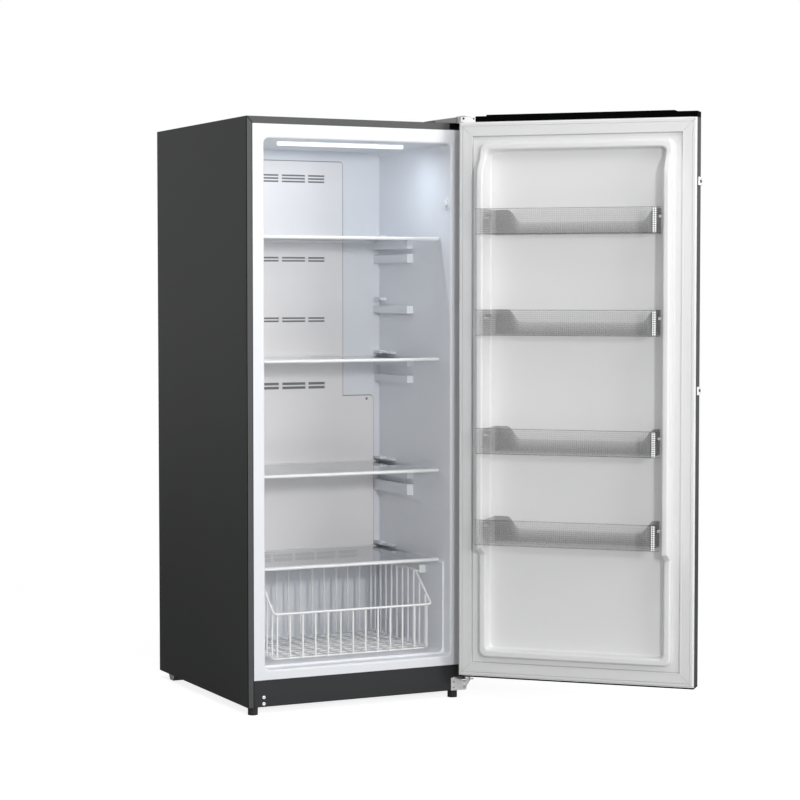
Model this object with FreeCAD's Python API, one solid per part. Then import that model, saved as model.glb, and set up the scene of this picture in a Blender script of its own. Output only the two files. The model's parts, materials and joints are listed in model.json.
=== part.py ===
import FreeCAD, Part
import math
import os

# Upright freezer with one door, drawn with the door open. Millimetres, +Z up. The origin
# is on the floor under the middle of the cabinet; the front faces -Y, the door hinges at +X.

# ---- Cabinet ------------------------------------------------------------------------
width = 711.0
depth = 735.0             # cabinet without its door
shell_height = 1699.0     # cabinet without its feet
foot_height = 23.0
sheet = 1.5               # folded steel
lip = 19.0                # folded front edge of the shell, beside and above the liner
side_wall = 55.5          # outside of the shell to the inside of the liner
top_wall = 62.5
floor_wall = 107.0
inside_depth = 490.0
liner_thick = 3.0
liner_corner = 14.0
mouth_round = 7.0         # rolled edge of the liner's opening
roll_facets = 3
kick_height = 78.0
plinth_height = 60.0      # under the foamed floor, for the base frame
machine_height = 265.0    # space for the compressor at the back
machine_depth = 179.0
ledge = 6.0               # the lower compartment is this much narrower on each side
ledge_front = 41.0
floor_rise = 5.0          # the floor climbs towards the back

# ---- Shelves ------------------------------------------------------------------------
usual_height = 1699.0     # a taller or shorter shell spreads its fittings in proportion
spread = shell_height / usual_height
shelf_heights = [z * spread for z in (1362.0, 1000.0, 664.5, 394.0)]   # tops above the shell's foot
rib_stacks = ((24.0, 17.0, 26.0), (25.0, 29.0, 22.0), (36.0, 18.0, 34.0), (8.0, 0.0, 0.0))
spare_rib = 1132.0 * spread
rib_reach = 20.6
rib_depth = 239.3         # the ribs come forward this far from the back wall
glass = 4.0
trim_height = 9.5
shelf_setback = 65.0
shelf_clearance = 4.5
cover_proud = 6.0         # back cover in front of the liner

# ---- Wire basket --------------------------------------------------------------------
basket_gap = 37.5         # beside the rim, to the liner's lower walls
basket_width = 2 * (width / 2 - side_wall - ledge - basket_gap)
basket_front = 40.0
basket_back = 440.0
basket_floor = 124.5
basket_high_rim = shelf_heights[-1] - 42.0
basket_low_rim = basket_high_rim - 92.0
basket_dip = 148.0        # the side rims slope down in front of here
wire_r = 2.9
rim_r = 3.5
long_wires = 13
cross_wires = 10
wire_side_gap = 12.9      # from the rim's side to the first long wire
wire_front_gap = 29.0     # from the front rim to the first cross wire
wire_back_gap = 22.7
long_pitch = (basket_width - 2 * wire_side_gap) / (long_wires - 1)
cross_pitch = (basket_back - basket_front - wire_front_gap - wire_back_gap) / (cross_wires - 1)
wire_bend = 4.0
ledge_height = shelf_heights[-1] - 15.0
weld = 0.5                # wires sink this far into the rim

# ---- Door ---------------------------------------------------------------------------
open_angle = 135.15       # the door's place in this model, from closed
door_thick = 54.0
door_gap = 10.5           # cabinet front to the back of the door, filled by the gasket
door_low = 54.8           # underside of the door above the shell's lower edge
door_high = shell_height - 1.4
skin = 1.2
skin_return = 12.0
cap_height = 16.9
bottom_cap = 4.0
pin_inset = 18.1          # hinge pin in from the door's side
pin_setout = 29.7         # hinge pin in front of the door's back
pin_r = 5.0
pin_clearance = 0.05
rail_reach = 57.0         # the door liner's side rails stand off the door's back
rim_reach = 20.0          # its low rim
recess = 15.0             # its hollow between the rails
rail_outer = 68.0         # in from the door's sides
rail_width = 20.0
bin_bottoms = [z * spread for z in (1364.5, 1071.5, 726.5, 459.5)]
bin_height = 75.0
bin_reach = 111.0
bin_wall = 2.5
bin_end = 107.0           # a bin's end walls, in from the door's sides
handle_heights = [z * spread for z in (913.5, 1515.0)]
handle_r = 10.0
handle_standoff = 40.0
handle_inset = 29.0
bracket_height = 24.0

# ---- Planes and lines that several pieces share -------------------------------------
half = width / 2
front = -depth / 2
back = depth / 2
base = foot_height
top = base + shell_height
inside_half = half - side_wall
inside_back = front + inside_depth
inside_floor = base + floor_wall
inside_top = top - top_wall
machine_front = back - machine_depth
machine_top = base + machine_height
cover_face = inside_back - cover_proud
rib_half = inside_half - rib_reach
shelf_front = front + shelf_setback
shelf_half = inside_half - shelf_clearance
door_back = front - door_gap
door_front = door_back - door_thick
door_bottom = base + door_low
door_top = base + door_high
pin_x = half - pin_inset
pin_y = door_back - pin_setout

X = FreeCAD.Vector(1, 0, 0)
Y = FreeCAD.Vector(0, 1, 0)
Z = FreeCAD.Vector(0, 0, 1)


# ---- Helpers ------------------------------------------------------------------------
def vec(x, y, z):
    return FreeCAD.Vector(x, y, z)


def box(x0, x1, y0, y1, z0, z1):
    """A block between two values on each axis, given in either order."""
    low = vec(min(x0, x1), min(y0, y1), min(z0, z1))
    return Part.makeBox(abs(x1 - x0), abs(y1 - y0), abs(z1 - z0), low)


def rod(radius, start, direction, length):
    return Part.makeCylinder(radius, length, start, direction)


def prism(points, along):
    """A closed outline of 3-D points pushed along a vector."""
    corners = [vec(*p) for p in points]
    return Part.Face(Part.makePolygon(corners + [corners[0]])).extrude(along)


def fuse(shapes):
    return shapes[0].multiFuse(shapes[1:]).removeSplitter()


def rounded(shape, axis, radius, keep=None):
    """Fillet the straight edges along an axis, all of them or those where keep(middle)."""
    chosen = []
    for edge in shape.Edges:
        if not isinstance(edge.Curve, Part.Line):
            continue
        way = edge.Vertexes[-1].Point - edge.Vertexes[0].Point
        along = abs(abs(way.dot(axis)) - way.Length) < 1e-6
        if along and (keep is None or keep(edge.CenterOfMass)):
            chosen.append(edge)
    return shape.makeFillet(radius, chosen)


def round_box(x0, x1, y0, y1, z0, z1, axis, radius):
    return rounded(box(x0, x1, y0, y1, z0, z1), axis, radius)


def mirrored(shape):
    """The same shape on the other side of the cabinet's middle plane."""
    return shape.mirror(vec(0, 0, 0), X)


def softened(points, radius, steps=1, closed=False):
    """A path with each corner replaced by a few points on an arc."""
    path = []
    count = len(points)
    for n, corner in enumerate(points):
        if not closed and n in (0, count - 1):
            path.append(corner)
            continue
        before = (points[n - 1] - corner).normalize()
        after = (points[(n + 1) % count] - corner).normalize()
        opening = before.getAngle(after)
        reach = radius / math.tan(opening / 2)
        middle = corner + (before + after).normalize() * (radius / math.sin(opening / 2))
        start = corner + before * reach - middle
        end = corner + after * reach - middle
        turn = start.getAngle(end)
        for k in range(steps + 1):
            a, b = math.sin(turn * (1 - k / steps)), math.sin(turn * k / steps)
            path.append(middle + (start * a + end * b) * (1 / math.sin(turn)))
    return path


def wire(path, radius, flat, sides=8, closed=False):
    """A straight-sided wire along a path, mitred at its bends; two of its sides face `flat`."""
    count = len(path)
    ways = [(path[(n + 1) % count] - path[n]).normalize() for n in range(count if closed else count - 1)]
    up = ways[0].cross(flat)
    reach = radius / math.cos(math.pi / sides)
    ring = []
    for n in range(sides):
        turn = 2 * math.pi * (n + 0.5) / sides
        ring.append(path[0] + flat * (reach * math.cos(turn)) + up * (reach * math.sin(turn)))
    rings = []
    for n, corner in enumerate(path):
        if closed:
            into, out = (ways[n - 1], ways[n]) if n else (ways[0], ways[-1])
        else:
            into, out = ways[max(n - 1, 0)], ways[min(n, count - 2)]
        across = into + out
        ring = [p + into * ((corner - p).dot(across) / into.dot(across)) for p in ring]
        rings.append(ring)
    faces = []
    for n in range(len(ways)):
        a, b = rings[n], rings[(n + 1) % count]
        for k in range(sides):
            m = (k + 1) % sides
            faces.append(Part.Face(Part.makePolygon([a[k], a[m], b[m], b[k], a[k]])))
    if not closed:
        faces += [Part.Face(Part.makePolygon(end + [end[0]])) for end in (rings[0], rings[-1])]
    solid = Part.Solid(Part.Shell(faces))
    if solid.Volume < 0:
        solid.reverse()
    return solid


nodes = {}


# ---- Cabinet shell and structure ----------------------------------------------------
def cabinet_shell():
    """Sides, top and folded front lip in one painted sheet, open below and behind."""
    outside = rounded(box(-half, half, front, back, base, top), Z, 3.0, lambda p: p.y < 0)
    inside = box(-half + sheet, half - sheet, front + sheet, back + 1, base - 1, top - sheet)
    mouth = box(-half + lip, half - lip, front - 1, front + sheet + 1, base - 1, top - lip - sheet)
    return outside.cut(inside).cut(mouth)


def stiffener(grow):
    """One of the channels pressed into the rear sheet; grow is 0 outside, -sheet inside."""
    x, wide = half * 0.45, 20 + grow
    z0, z1 = machine_top + 60 - grow, top - 90 + grow
    y1 = back + 2.5 + grow
    return box(x - wide, x + wide, back - 2 * sheet, y1, z0, z1)


def back_panel():
    """Flat rear sheet with two pressed channels."""
    panel = box(-half + sheet, half - sheet, back - sheet, back, machine_top, top - sheet)
    right = stiffener(0)
    hollow = stiffener(-sheet)
    clear = box(-half, half, back - 3 * sheet, back - sheet, machine_top, top)
    return panel.multiFuse([right, mirrored(right)]).cut([hollow, mirrored(hollow), clear])


# ---- Base ---------------------------------------------------------------------------
base_setback = 4.0        # pan and rails behind the cabinet's front
base_end = 30.0           # rails end in front of the cabinet's back
rail_wall = 2.5
rail_flange = 60.0
rail_top = base + plinth_height - sheet
rail_half = half - sheet
glide_width = 34.0
glide_low = (82.0, 54.0)  # a rear glide's sole, in from the cabinet's back
glide_slope = 14.0
cross_setback = 28.0      # behind the feet's stems
cross_wall = 3.0
cross_height = 40.0
foot_r = 14.5
foot_setback = 20.0
foot_hole = 5.0           # clear of the stem's corners
foot_places = {"left": -half + 23.0, "right": half - 38.0}
tray_top = base + 26.0
tray_wall = 2.0
tray_lip = 12.0           # turned up along the tray's front and back
tray_reach = (164.0, 34.0)


def base_pan():
    """Floor pan under the foam, which steps up over the machine space."""
    low, high = base + plinth_height, machine_top
    outline = [(front + base_setback, low), (machine_front, low), (machine_front, high),
               (back - sheet, high), (back - sheet, high - sheet), (machine_front + sheet, high - sheet),
               (machine_front + sheet, low - sheet), (front + base_setback, low - sheet)]
    return prism([(-rail_half, y, z) for y, z in outline], X * (2 * rail_half))


def base_rails():
    """A rail down each side: web, floor flange, front plate and rear glide."""
    y0, y1 = front + base_setback, back - base_end
    rails = []
    for side, place in ((-1, foot_places["left"]), (1, foot_places["right"])):
        web = box(side * (rail_half - rail_wall), side * rail_half, y0, y1, base, rail_top)
        flange = box(side * (rail_half - rail_flange), side * rail_half, y0, y1, base, base + rail_wall)
        plate = box(side * rail_half, side * (rail_half - rail_flange), y0, y0 + rail_wall, base, rail_top)
        far, near = (back - reach for reach in glide_low)
        sole = [(far - glide_slope, base), (far, 0), (near, 0), (near + glide_slope, base)]
        x = side * (rail_half - rail_flange / 2) - glide_width / 2
        glide = prism([(x, y, z) for y, z in sole], X * glide_width)
        hole = rod(foot_hole, vec(place, front + foot_setback, base - 1), Z, rail_wall + 2)
        rails.append(fuse([web, flange, plate, glide]).cut(hole))
    return Part.makeCompound(rails)


def base_cross_plate():
    """Plate between the rails behind the feet."""
    x1, y0 = rail_half - rail_wall, front + cross_setback
    return box(-x1, x1, y0, y0 + cross_wall, base + rail_wall, base + rail_wall + cross_height)


def compressor_tray():
    """Sheet tray between the rails, turned up along its front and back."""
    x1 = rail_half - rail_wall
    y0, y1 = (back - reach for reach in tray_reach)
    plate = box(-x1, x1, y0, y1, tray_top - tray_wall, tray_top)
    lips = [box(-x1, x1, y, y + tray_wall, tray_top - tray_wall, tray_top + tray_lip)
            for y in (y0, y1 - tray_wall)]
    return fuse([plate] + lips)


# ---- Liner and foam -----------------------------------------------------------------
def liner_space(grow):
    """The room inside the cabinet, or the outside of its liner when grown by a wall."""
    y0, y_step, y1 = front - 5, front + ledge_front + grow, inside_back + grow
    z_low, z_high, z_step = inside_floor - grow, inside_top + grow, base + ledge_height - grow
    x1, r = inside_half + grow, liner_corner + grow
    upper = round_box(-x1, x1, y0, y1, z_step, z_high, Y, r)
    mouth = round_box(-x1, x1, y0, y_step, z_low, z_high, Y, r)
    x2 = x1 - ledge
    low = z_low + ledge
    outline = [(y_step - 2, low), (y1, low + floor_rise), (y1, z_step + 40), (y_step - 2, z_step + 40)]
    lower = prism([(-x2, y, z) for y, z in outline], X * (2 * x2))
    lower = lower.makeFillet(r, [e for e in lower.Edges if abs(e.CenterOfMass.x) > x2 - 1
                                 and e.CenterOfMass.z < low + floor_rise + 1
                                 and e.BoundBox.YLength > 50])
    lower = lower.cut(box(-half, half, front - 9, back, z_step + 20, z_step + 60))
    return upper.fuse([mouth, lower])


def mouth_block():
    """The room that the rolled edge of the liner's opening takes."""
    reach = mouth_round + 1
    return round_box(-inside_half - reach, inside_half + reach, front, front + mouth_round + 3,
                     inside_floor - reach, inside_top + reach, Y, liner_corner + reach)


def mouth_ring():
    """Rolled edge of the opening: four straight runs joined by turned corners."""
    r, reach, y1 = mouth_round, mouth_round + 1, front + mouth_round + 3
    x0 = liner_corner
    turns = [math.pi / 2 * n / roll_facets for n in range(roll_facets + 1)]
    outline = [vec(x0 + r * (1 - math.cos(t)), front + r * (1 - math.sin(t)), 0) for t in turns]
    outline += [vec(x0 + reach, front, 0), vec(x0 + reach, y1, 0), vec(x0, y1, 0)]
    section = Part.Face(Part.makePolygon(outline + [outline[0]]))
    x, z0, z1 = inside_half - liner_corner, inside_floor + liner_corner, inside_top - liner_corner
    centres = [vec(x, 0, z1), vec(-x, 0, z1), vec(-x, 0, z0), vec(x, 0, z0)]
    parts = []
    for n, centre in enumerate(centres):
        start, end = section.copy(), section.copy()
        start.rotate(vec(0, 0, 0), Y, -90 * n)
        end.rotate(vec(0, 0, 0), Y, -90 * (n + 1))
        corner = start.revolve(vec(0, 0, 0), Y, -90)
        run = end.extrude(centres[(n + 1) % 4] - centre)
        for part in (corner, run):
            part.translate(centre)
            parts.append(part)
    return fuse(parts)


def wall_ribs():
    """Moulded supports on the right wall: a rib under and over the back of each shelf."""
    y0, y1 = inside_back - rib_depth, inside_back + 1
    x0, x1 = rib_half, inside_half + 1
    ribs = []
    for height, (upper, slot, lower) in zip(shelf_heights, rib_stacks):
        seat = base + height - trim_height + 2.5
        ribs.append(box(x0, x1, y0, y1, seat - upper, seat))
        if lower:
            ribs.append(box(x0, x1, y0, y1, seat - upper - slot - lower, seat - upper - slot))
        keep = seat + glass + 7
        ribs.append(box(x0, x1, inside_back - 52, y1, keep, keep + 9))
        ribs.append(box(x0 + 4, x1, inside_back - 120, inside_back - 51, keep, keep + 5))
    spare = base + spare_rib
    ribs.append(box(x0, x1, y0, y1, spare, spare + 22))
    ribs.append(box(x0, x1, inside_back - 52, y1, spare + 39, spare + 48))
    return ribs


def liner_solid():
    """Everything the liner fills, before it is hollowed."""
    flange = box(-half + lip, half - lip, front, front + liner_thick,
                 base + kick_height, top - lip - sheet)
    inside = liner_space(liner_thick).common(box(-half, half, front, back, base, top))
    return inside.fuse([flange, mouth_block()])


def inner_liner():
    """White moulded liner: flange, rolled mouth, five thin walls and shelf ribs."""
    body = liner_solid().cut([liner_space(0), mouth_block()])
    right = wall_ribs()
    collar = rod(switch_collar, vec(inside_half - 4, switch_y, switch_z), X, 5)
    body = body.multiFuse([mouth_ring(), collar] + right + [mirrored(rib) for rib in right])
    hole = rod(button_r + 0.4, vec(inside_half - 5, switch_y, switch_z), X, 9)
    return body.cut(hole)


def cabinet_foam():
    """Foamed wall between the shell and the liner: five walls round one hollow."""
    low = base + plinth_height
    y0, y1 = front + sheet, back - sheet
    outline = [(y0, low), (machine_front, low), (machine_front, machine_top), (y1, machine_top),
               (y1, top - sheet), (y0, top - sheet)]
    x1 = half - sheet
    foam = prism([(-x1, y, z) for y, z in outline], X * (2 * x1))
    channel = stiffener(-sheet)
    foam = foam.multiFuse([channel, mirrored(channel)])
    kick = box(-half, half, front, front + 4, low, base + kick_height)
    barrel = rod(button_r + 0.4, vec(inside_half, switch_y, switch_z), X, 16)
    right = wall_ribs()
    return foam.cut([liner_solid(), kick, barrel] + right + [mirrored(rib) for rib in right])


def kick_panel():
    """Dark plinth behind the shell's lips, below the liner's flange."""
    y0 = front + sheet
    return box(-half + sheet, half - sheet, y0, y0 + 2.5, base, base + kick_height)


grille_rows, grille_columns = 6, 4
grille_pitch = (32.0, 140.0)      # up and across
slot_size = (9.0, 120.0)
cord_hole = 9.0


def machine_cover():
    """Rear grille over the compressor, with rows of cooling slots and a cord hole."""
    x1, z0, z1 = half - sheet, base + 3, machine_top - sheet
    cover = box(-x1, x1, back - sheet, back, z0, z1)
    cuts = [rod(cord_hole, vec(x1 - 36, back - 5, z0 + 22), Y, 9)]
    for row in range(grille_rows):
        z = z0 + 46 + row * grille_pitch[0]
        for column in range(grille_columns):
            x = (column - (grille_columns - 1) / 2) * grille_pitch[1] - slot_size[1] / 2
            cuts.append(box(x, x + slot_size[1], back - 5, back + 1, z, z + slot_size[0]))
    return cover.cut(cuts)


# ---- Feet ---------------------------------------------------------------------------
foot_ribs = 16
rib_height = 1.0
stem_r = 4.0
stem_length = 22.0


def foot(name):
    """Levelling foot: a ribbed puck on a screwed stem."""
    place = vec(foot_places[name], front + foot_setback, 0)
    outline = []
    for n in range(2 * foot_ribs):
        turn, reach = math.pi * n / foot_ribs, foot_r - rib_height * (n % 2)
        outline.append((reach * math.cos(turn), reach * math.sin(turn), 0))
    puck = prism(outline, Z * base)
    stem = wire([vec(0, 0, base - 1), vec(0, 0, base + stem_length)], stem_r, X)
    whole = puck.fuse(stem)
    whole.translate(place)
    return whole


# ---- Machine space ------------------------------------------------------------------
compressor_at = vec(-170.0, back - 92.0, tray_top)
mount_height = 12.0       # rubber feet under the compressor
can_r = 64.0
can_height = 112.0


def compressor():
    """Welded steel can with a foot plate, a terminal box and a suction stub."""
    x, y, z = compressor_at.x, compressor_at.y, tray_top + mount_height
    can = rod(can_r, vec(x, y, z + 2), Z, can_height)
    foot_plate = box(x - 92, x + 92, y - 44, y + 44, z, z + 3)
    terminal = box(x + can_r - 9, x + can_r + 28, y - 24, y + 24, z + 22, z + 80)
    stub_low = vec(x - 30, y - 20, z + can_height - 4)
    stub = wire([stub_low, stub_low + Z * 44], 4, X)
    return fuse([can, foot_plate, terminal, stub])


def compressor_feet():
    corners = [compressor_at + vec(dx, dy, 0) for dx in (-80, 80) for dy in (-33, 33)]
    return Part.makeCompound([wire([corner, corner + Z * mount_height], 9, X) for corner in corners])


def condenser():
    """Serpentine condenser tubes in fin plates beside the fan."""
    x0, x1, y = 110.0, 290.0, back - 100
    parts = [box(x0, x1, y - 3, y + 3, tray_top + 34 + row * 34, tray_top + 40 + row * 34)
             for row in range(4)]
    for fin in range(6):
        x = x0 + 14 + fin * 30
        parts.append(box(x, x + 1.2, y - 34, y + 34, tray_top, tray_top + 164))
    return fuse(parts)


def condenser_fan():
    """An eight-sided hub with pitched blades, turning on a shaft along Y."""
    radius, hub_r, thick = 60, 20, 14
    parts = [wire([vec(0, 0, 0), vec(0, 0, thick)], hub_r, X)]
    for n in range(4):
        blade = box(hub_r * 0.7, radius, -16, 16, thick / 2 - 0.9, thick / 2 + 0.9)
        blade.rotate(vec(0, 0, thick / 2), X, 28)
        blade.rotate(vec(0, 0, 0), Z, n * 90)
        parts.append(blade)
    turned = fuse(parts).cut(rod(shaft_r + pin_clearance, vec(0, 0, -1), Z, thick - 3))
    turned.rotate(vec(0, 0, 0), X, 90)
    turned.translate(fan_at)
    return turned


shaft_r = 2.5
fan_at = vec(20, back - 120, tray_top + 90)


def fan_motor():
    """Motor can behind the fan with its shaft, on a bracket from the compressor tray."""
    can = wire([fan_at + Y * 6, fan_at + Y * 36], 17, X)
    shaft = rod(shaft_r, fan_at - Y * 9, Y, 16)
    x, y = fan_at.x, fan_at.y
    post = box(x - 14, x + 14, y + 12, y + 16, tray_top, fan_at.z)
    plate = box(x - 14, x + 14, y + 12, y + 40, tray_top, tray_top + 2)
    return fuse([can, shaft, post, plate])


# ---- Inside fittings ----------------------------------------------------------------
slot_columns = ((-107, -49), (-38, 41), (51, 107))
slot_rows = ((1538, 3, 9.5, 5), (1292, 2, 9.5, 5), (1104, 2, 9.5, 5), (895, 2, 12.5, 8))
return_columns = (-189.5, -113.7, -37.9, 37.9, 113.7, 189.5)
cover_side = 24.0         # from the liner's side to the wide part
duct_side = 131.0
cover_top = 32.5          # from the liner's ceiling to the duct
cover_shoulder = 870.0 * spread
cover_foot = 330.0 * spread


def back_cover():
    """Back wall cover: a wide lower part over the cooling coil and an air duct above."""
    y0, y1 = cover_face, inside_back
    low, shoulder, high = base + cover_foot, base + cover_shoulder, inside_top - cover_top
    wide, narrow, wall = inside_half - cover_side, inside_half - duct_side, 3.0
    lower = round_box(-wide, wide, y0, y1, low, shoulder, Y, 10.0)
    upper = round_box(-narrow, narrow, y0, y1, shoulder - 30, high, Y, 10.0)
    cover = lower.fuse(upper)
    hollows = [box(-wide + wall, wide - wall, y0 + wall, y1 + 1, low + wall, shoulder - wall),
               box(-narrow + wall, narrow - wall, y0 + wall, y1 + 1, shoulder - 9, high - wall)]
    cover = cover.cut(hollows).removeSplitter()
    holes = []
    for z, count, pitch, slot in slot_rows:
        for n in range(count):
            for x0, x1 in slot_columns:
                low_edge = base + z * spread + n * pitch
                holes.append(box(x0, x1, y0 - 1, y1, low_edge, low_edge + slot))
    for x in return_columns:
        for row in range(2):
            z = low + 27 + row * 13
            holes.append(box(x - 33.5, x + 33.5, y0 - 1, y1, z, z + 6))
    return cover.cut(holes)


lens_height = 10.0
lens_half = 205.0
lens_place = (120.0, 138.0)       # behind the cabinet's front


def led_lens():
    """Light bar under the ceiling with rounded ends."""
    y0, y1 = (front + reach for reach in lens_place)
    low = inside_top - lens_height
    return round_box(-lens_half, lens_half, y0, y1, low, inside_top, Z, (y1 - y0) / 2 - 0.5)


def basket_rails():
    """Two wall brackets, each with a ledge under the basket's rim."""
    y0, y1 = front + 152, inside_back - 20
    low, high = base + basket_high_rim - 12, base + basket_high_rim + 12.6
    x_wall = inside_half - ledge
    x_face = x_wall - 21
    x_inner = basket_width / 2 - rim_r + 1.2
    ledge_top = base + basket_high_rim - rim_r
    parts = []
    for side in (-1, 1):
        block = box(side * x_wall, side * x_face, y0, y1, low, high)
        runner = box(side * x_face, side * x_inner, y0, y1, ledge_top - 3, ledge_top)
        parts.append(block.fuse(runner).removeSplitter())
    return Part.makeCompound(parts)


switch_z = base + 1460 * spread
switch_y = front + 24
switch_collar = 17.0
button_r = 8.6


def switch_button():
    """Spring button that the closed door's liner passes close by."""
    return rod(button_r, vec(inside_half - 10, switch_y, switch_z), X, 17)


# ---- Shelves ------------------------------------------------------------------------
def shelf_glass(height):
    seat = base + height - trim_height + 2.5
    return box(-shelf_half + 2, shelf_half - 2, shelf_front + 4, cover_face - 7, seat, seat + glass)


def shelf_trim(height):
    """White mouldings along the front and back edges of the glass."""
    high = base + height
    low = high - trim_height
    seat = low + 2.5
    y0, y1 = shelf_front, cover_face - 4
    edge = rounded(box(-shelf_half, shelf_half, y0, y0 + 16, low, high), X, 4.0, lambda p: p.y < y0 + 1)
    edge = edge.cut(box(-shelf_half - 1, shelf_half + 1, y0 + 4, y0 + 17, seat, seat + glass))
    x1 = rib_half - 2
    rear = box(-x1, x1, y1 - 12, y1, seat - 2, seat + glass + 2)
    rear = rear.cut(box(-half, half, y1 - 13, y1 - 3, seat, seat + glass))
    return Part.makeCompound([edge, rear])


# ---- Basket -------------------------------------------------------------------------
basket_half = basket_width / 2
rim_front, rim_back = front + basket_front, front + basket_back
comb_in = wire_r + rim_r - weld       # the upright wires stand inside the rim
cross_z = base + basket_floor
long_z = cross_z + 2 * wire_r
long_places = [(n - (long_wires - 1) / 2) * long_pitch for n in range(long_wires)]
cross_places = [rim_front + wire_front_gap + n * cross_pitch for n in range(cross_wires)]


def rim_height(y):
    """Height of the side rim, which slopes down in front of the dip."""
    share = min((y - rim_front) / (basket_dip - basket_front), 1.0)
    return base + basket_low_rim + share * (basket_high_rim - basket_low_rim)


def basket_rim():
    """The rim wire as a closed loop that slopes down at the front."""
    high, low = base + basket_high_rim, base + basket_low_rim
    dip = front + basket_dip
    right = [vec(basket_half, rim_front, low), vec(basket_half, dip, high), vec(basket_half, rim_back, high)]
    left = [vec(-p.x, p.y, p.z) for p in reversed(right)]
    path = softened(right + left, 9.0, steps=2, closed=True)
    first = (path[1] - path[0]).normalize()
    flat = first.cross(X).normalize()
    return wire(path, rim_r, flat, closed=True)


def upright(top_point, corner, foot_point):
    """A wire that comes down from the rim and bends to lie along the basket's floor."""
    flat = (foot_point - corner).normalize()
    return wire(softened([top_point, corner, foot_point], wire_bend), wire_r, flat, sides=6)


def basket_combs():
    """The basket's four sides and the two layers of wires in its floor."""
    turn_in = wire_bend + 4
    combs = {}
    y_front, y_back = rim_front + comb_in, rim_back - comb_in
    for name, y, way, high in (("front", y_front, 1, rim_height(rim_front)),
                               ("back", y_back, -1, rim_height(rim_back))):
        combs[name] = [upright(vec(x, y, high), vec(x, y, long_z), vec(x, y + way * turn_in, long_z))
                       for x in long_places]
    for name, side in (("left", -1), ("right", 1)):
        x = side * (basket_half - comb_in)
        combs[name] = [upright(vec(x, y, rim_height(y)), vec(x, y, cross_z),
                               vec(x - side * turn_in, y, cross_z)) for y in cross_places]
    combs["floor_long"] = [wire([vec(x, y_front + turn_in, long_z), vec(x, y_back - turn_in, long_z)],
                                wire_r, Z, sides=6) for x in long_places]
    x = basket_half - comb_in - turn_in
    combs["floor_cross"] = [wire([vec(-x, y, cross_z), vec(x, y, cross_z)], wire_r, Z, sides=6)
                            for y in cross_places]
    return combs


# ---- Hinges -------------------------------------------------------------------------
arm_low = door_top + cap_height + 2.0
arm_thick = 3.0
bracket_x = half - 53.5
bracket_height_low = 39.0


def top_hinge():
    """Plate on the roof with a raised arm that holds the upper pin."""
    x0, x1 = half - 34, half - 3
    plate = box(half - 92, x1, front + 30, front + 88, top, top + arm_thick)
    tongue = box(x0, x1, front + 5, front + 31, top, top + arm_thick)
    riser = box(x0, x1, front + 5, front + 8, top, arm_low + arm_thick)
    arm = box(x0, x1, pin_y - 15, front + 8, arm_low, arm_low + arm_thick)
    arm = rounded(arm, Z, 12.0, lambda p: p.y < front - 20)
    pin = rod(pin_r, vec(pin_x, pin_y, door_top + 2), Z, arm_low - door_top)
    return fuse([plate, tongue, riser, arm, pin])


def top_hinge_cover():
    """Wedge-shaped plastic cover over the roof plate, higher towards the hinge."""
    x0, x1 = half - 96, half - 36
    y0, y1 = front - 7, front + 95

    def wedge(wall):
        slope = [(x0 + wall, top - wall), (x1 - wall, top - wall), (x1 - wall, top + 18 - wall),
                 (x0 + wall, top + 9 - wall)]
        plan = [(x0 + wall, y1 - wall), (x0 + wall, y0 + 32 + wall), (x1 - wall, y0 + wall),
                (x1 - wall, y1 - wall)]
        side_view = prism([(x, y0, z) for x, z in slope], Y * (y1 - y0))
        return side_view.common(prism([(x, y, top) for x, y in plan], Z * 30))

    opening = box(x1 - 4, x1 + 1, front + 6, y1 - 5, top, top + 4)
    return wedge(0).cut([wedge(2.5), opening])


def bottom_hinge():
    """Front plate with a shelf that carries the lower pin."""
    x0, x1 = bracket_x, half - 1
    shelf_z = base + bracket_height_low
    plate = box(x0, x1, front - 3, front, base, shelf_z)
    shelf = box(x0 + 8, x1, pin_y - 15, front, shelf_z, shelf_z + 3)
    shelf = rounded(shelf, Z, 10.0, lambda p: p.y < front - 20)
    gusset = prism([(x1 - 7, front - 3, shelf_z), (x1 - 7, front - 40, shelf_z),
                    (x1 - 7, front - 3, base + 6)], X * 3)
    collar_top = door_bottom - bottom_cap - 0.4
    collar = rod(9, vec(pin_x, pin_y, shelf_z + 3), Z, collar_top - shelf_z - 3)
    pin = rod(pin_r, vec(pin_x, pin_y, shelf_z + 3), Z, 17)
    return fuse([plate, shelf, gusset, collar, pin])


# ---- Door, drawn closed; across is a distance from its hinge edge --------------------
def door_x(across):
    return half - across


def door_skin():
    """Steel face folded round both sides, with short returns at the back."""
    outside = box(-half, half, door_front, door_back, door_bottom, door_top)
    outside = rounded(outside, Z, 5.0, lambda p: p.y < door_front + 1)
    inside = box(-half + skin, half - skin, door_front + skin, door_back - skin,
                 door_bottom - 1, door_top + 1)
    inside = rounded(inside, Z, 5.0 - skin, lambda p: p.y < door_front + 2)
    mouth = box(-half + skin_return, half - skin_return, door_back - 3, door_back + 1,
                door_bottom - 1, door_top + 1)
    return outside.cut(inside).cut(mouth)


def cap_plug(z0, z1):
    """The part of an end cap that fits inside the skin."""
    plug = box(-half + skin, half - skin, door_front + skin, door_back - 3, z0, z1)
    plug = rounded(plug, Z, 5.0 - skin, lambda p: p.y < door_front + 2)
    return plug.cut(box(-half, half, door_back - 3, door_back, z0, z1))


def door_top_cap():
    """Black end cap with a raised middle, cut back beside the hinge."""
    z1 = door_top + cap_height
    cap = box(door_x(49.7), -half, door_front, door_back, door_top, z1)
    cap = rounded(cap, Z, 5.0, lambda p: p.y < door_front + 1 and p.x < 0)
    raised = box(door_x(82.7), door_x(644.5), door_front, door_back, z1, z1 + 3.7)
    return fuse([cap, raised, cap_plug(door_top - 9, door_top)])


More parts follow.
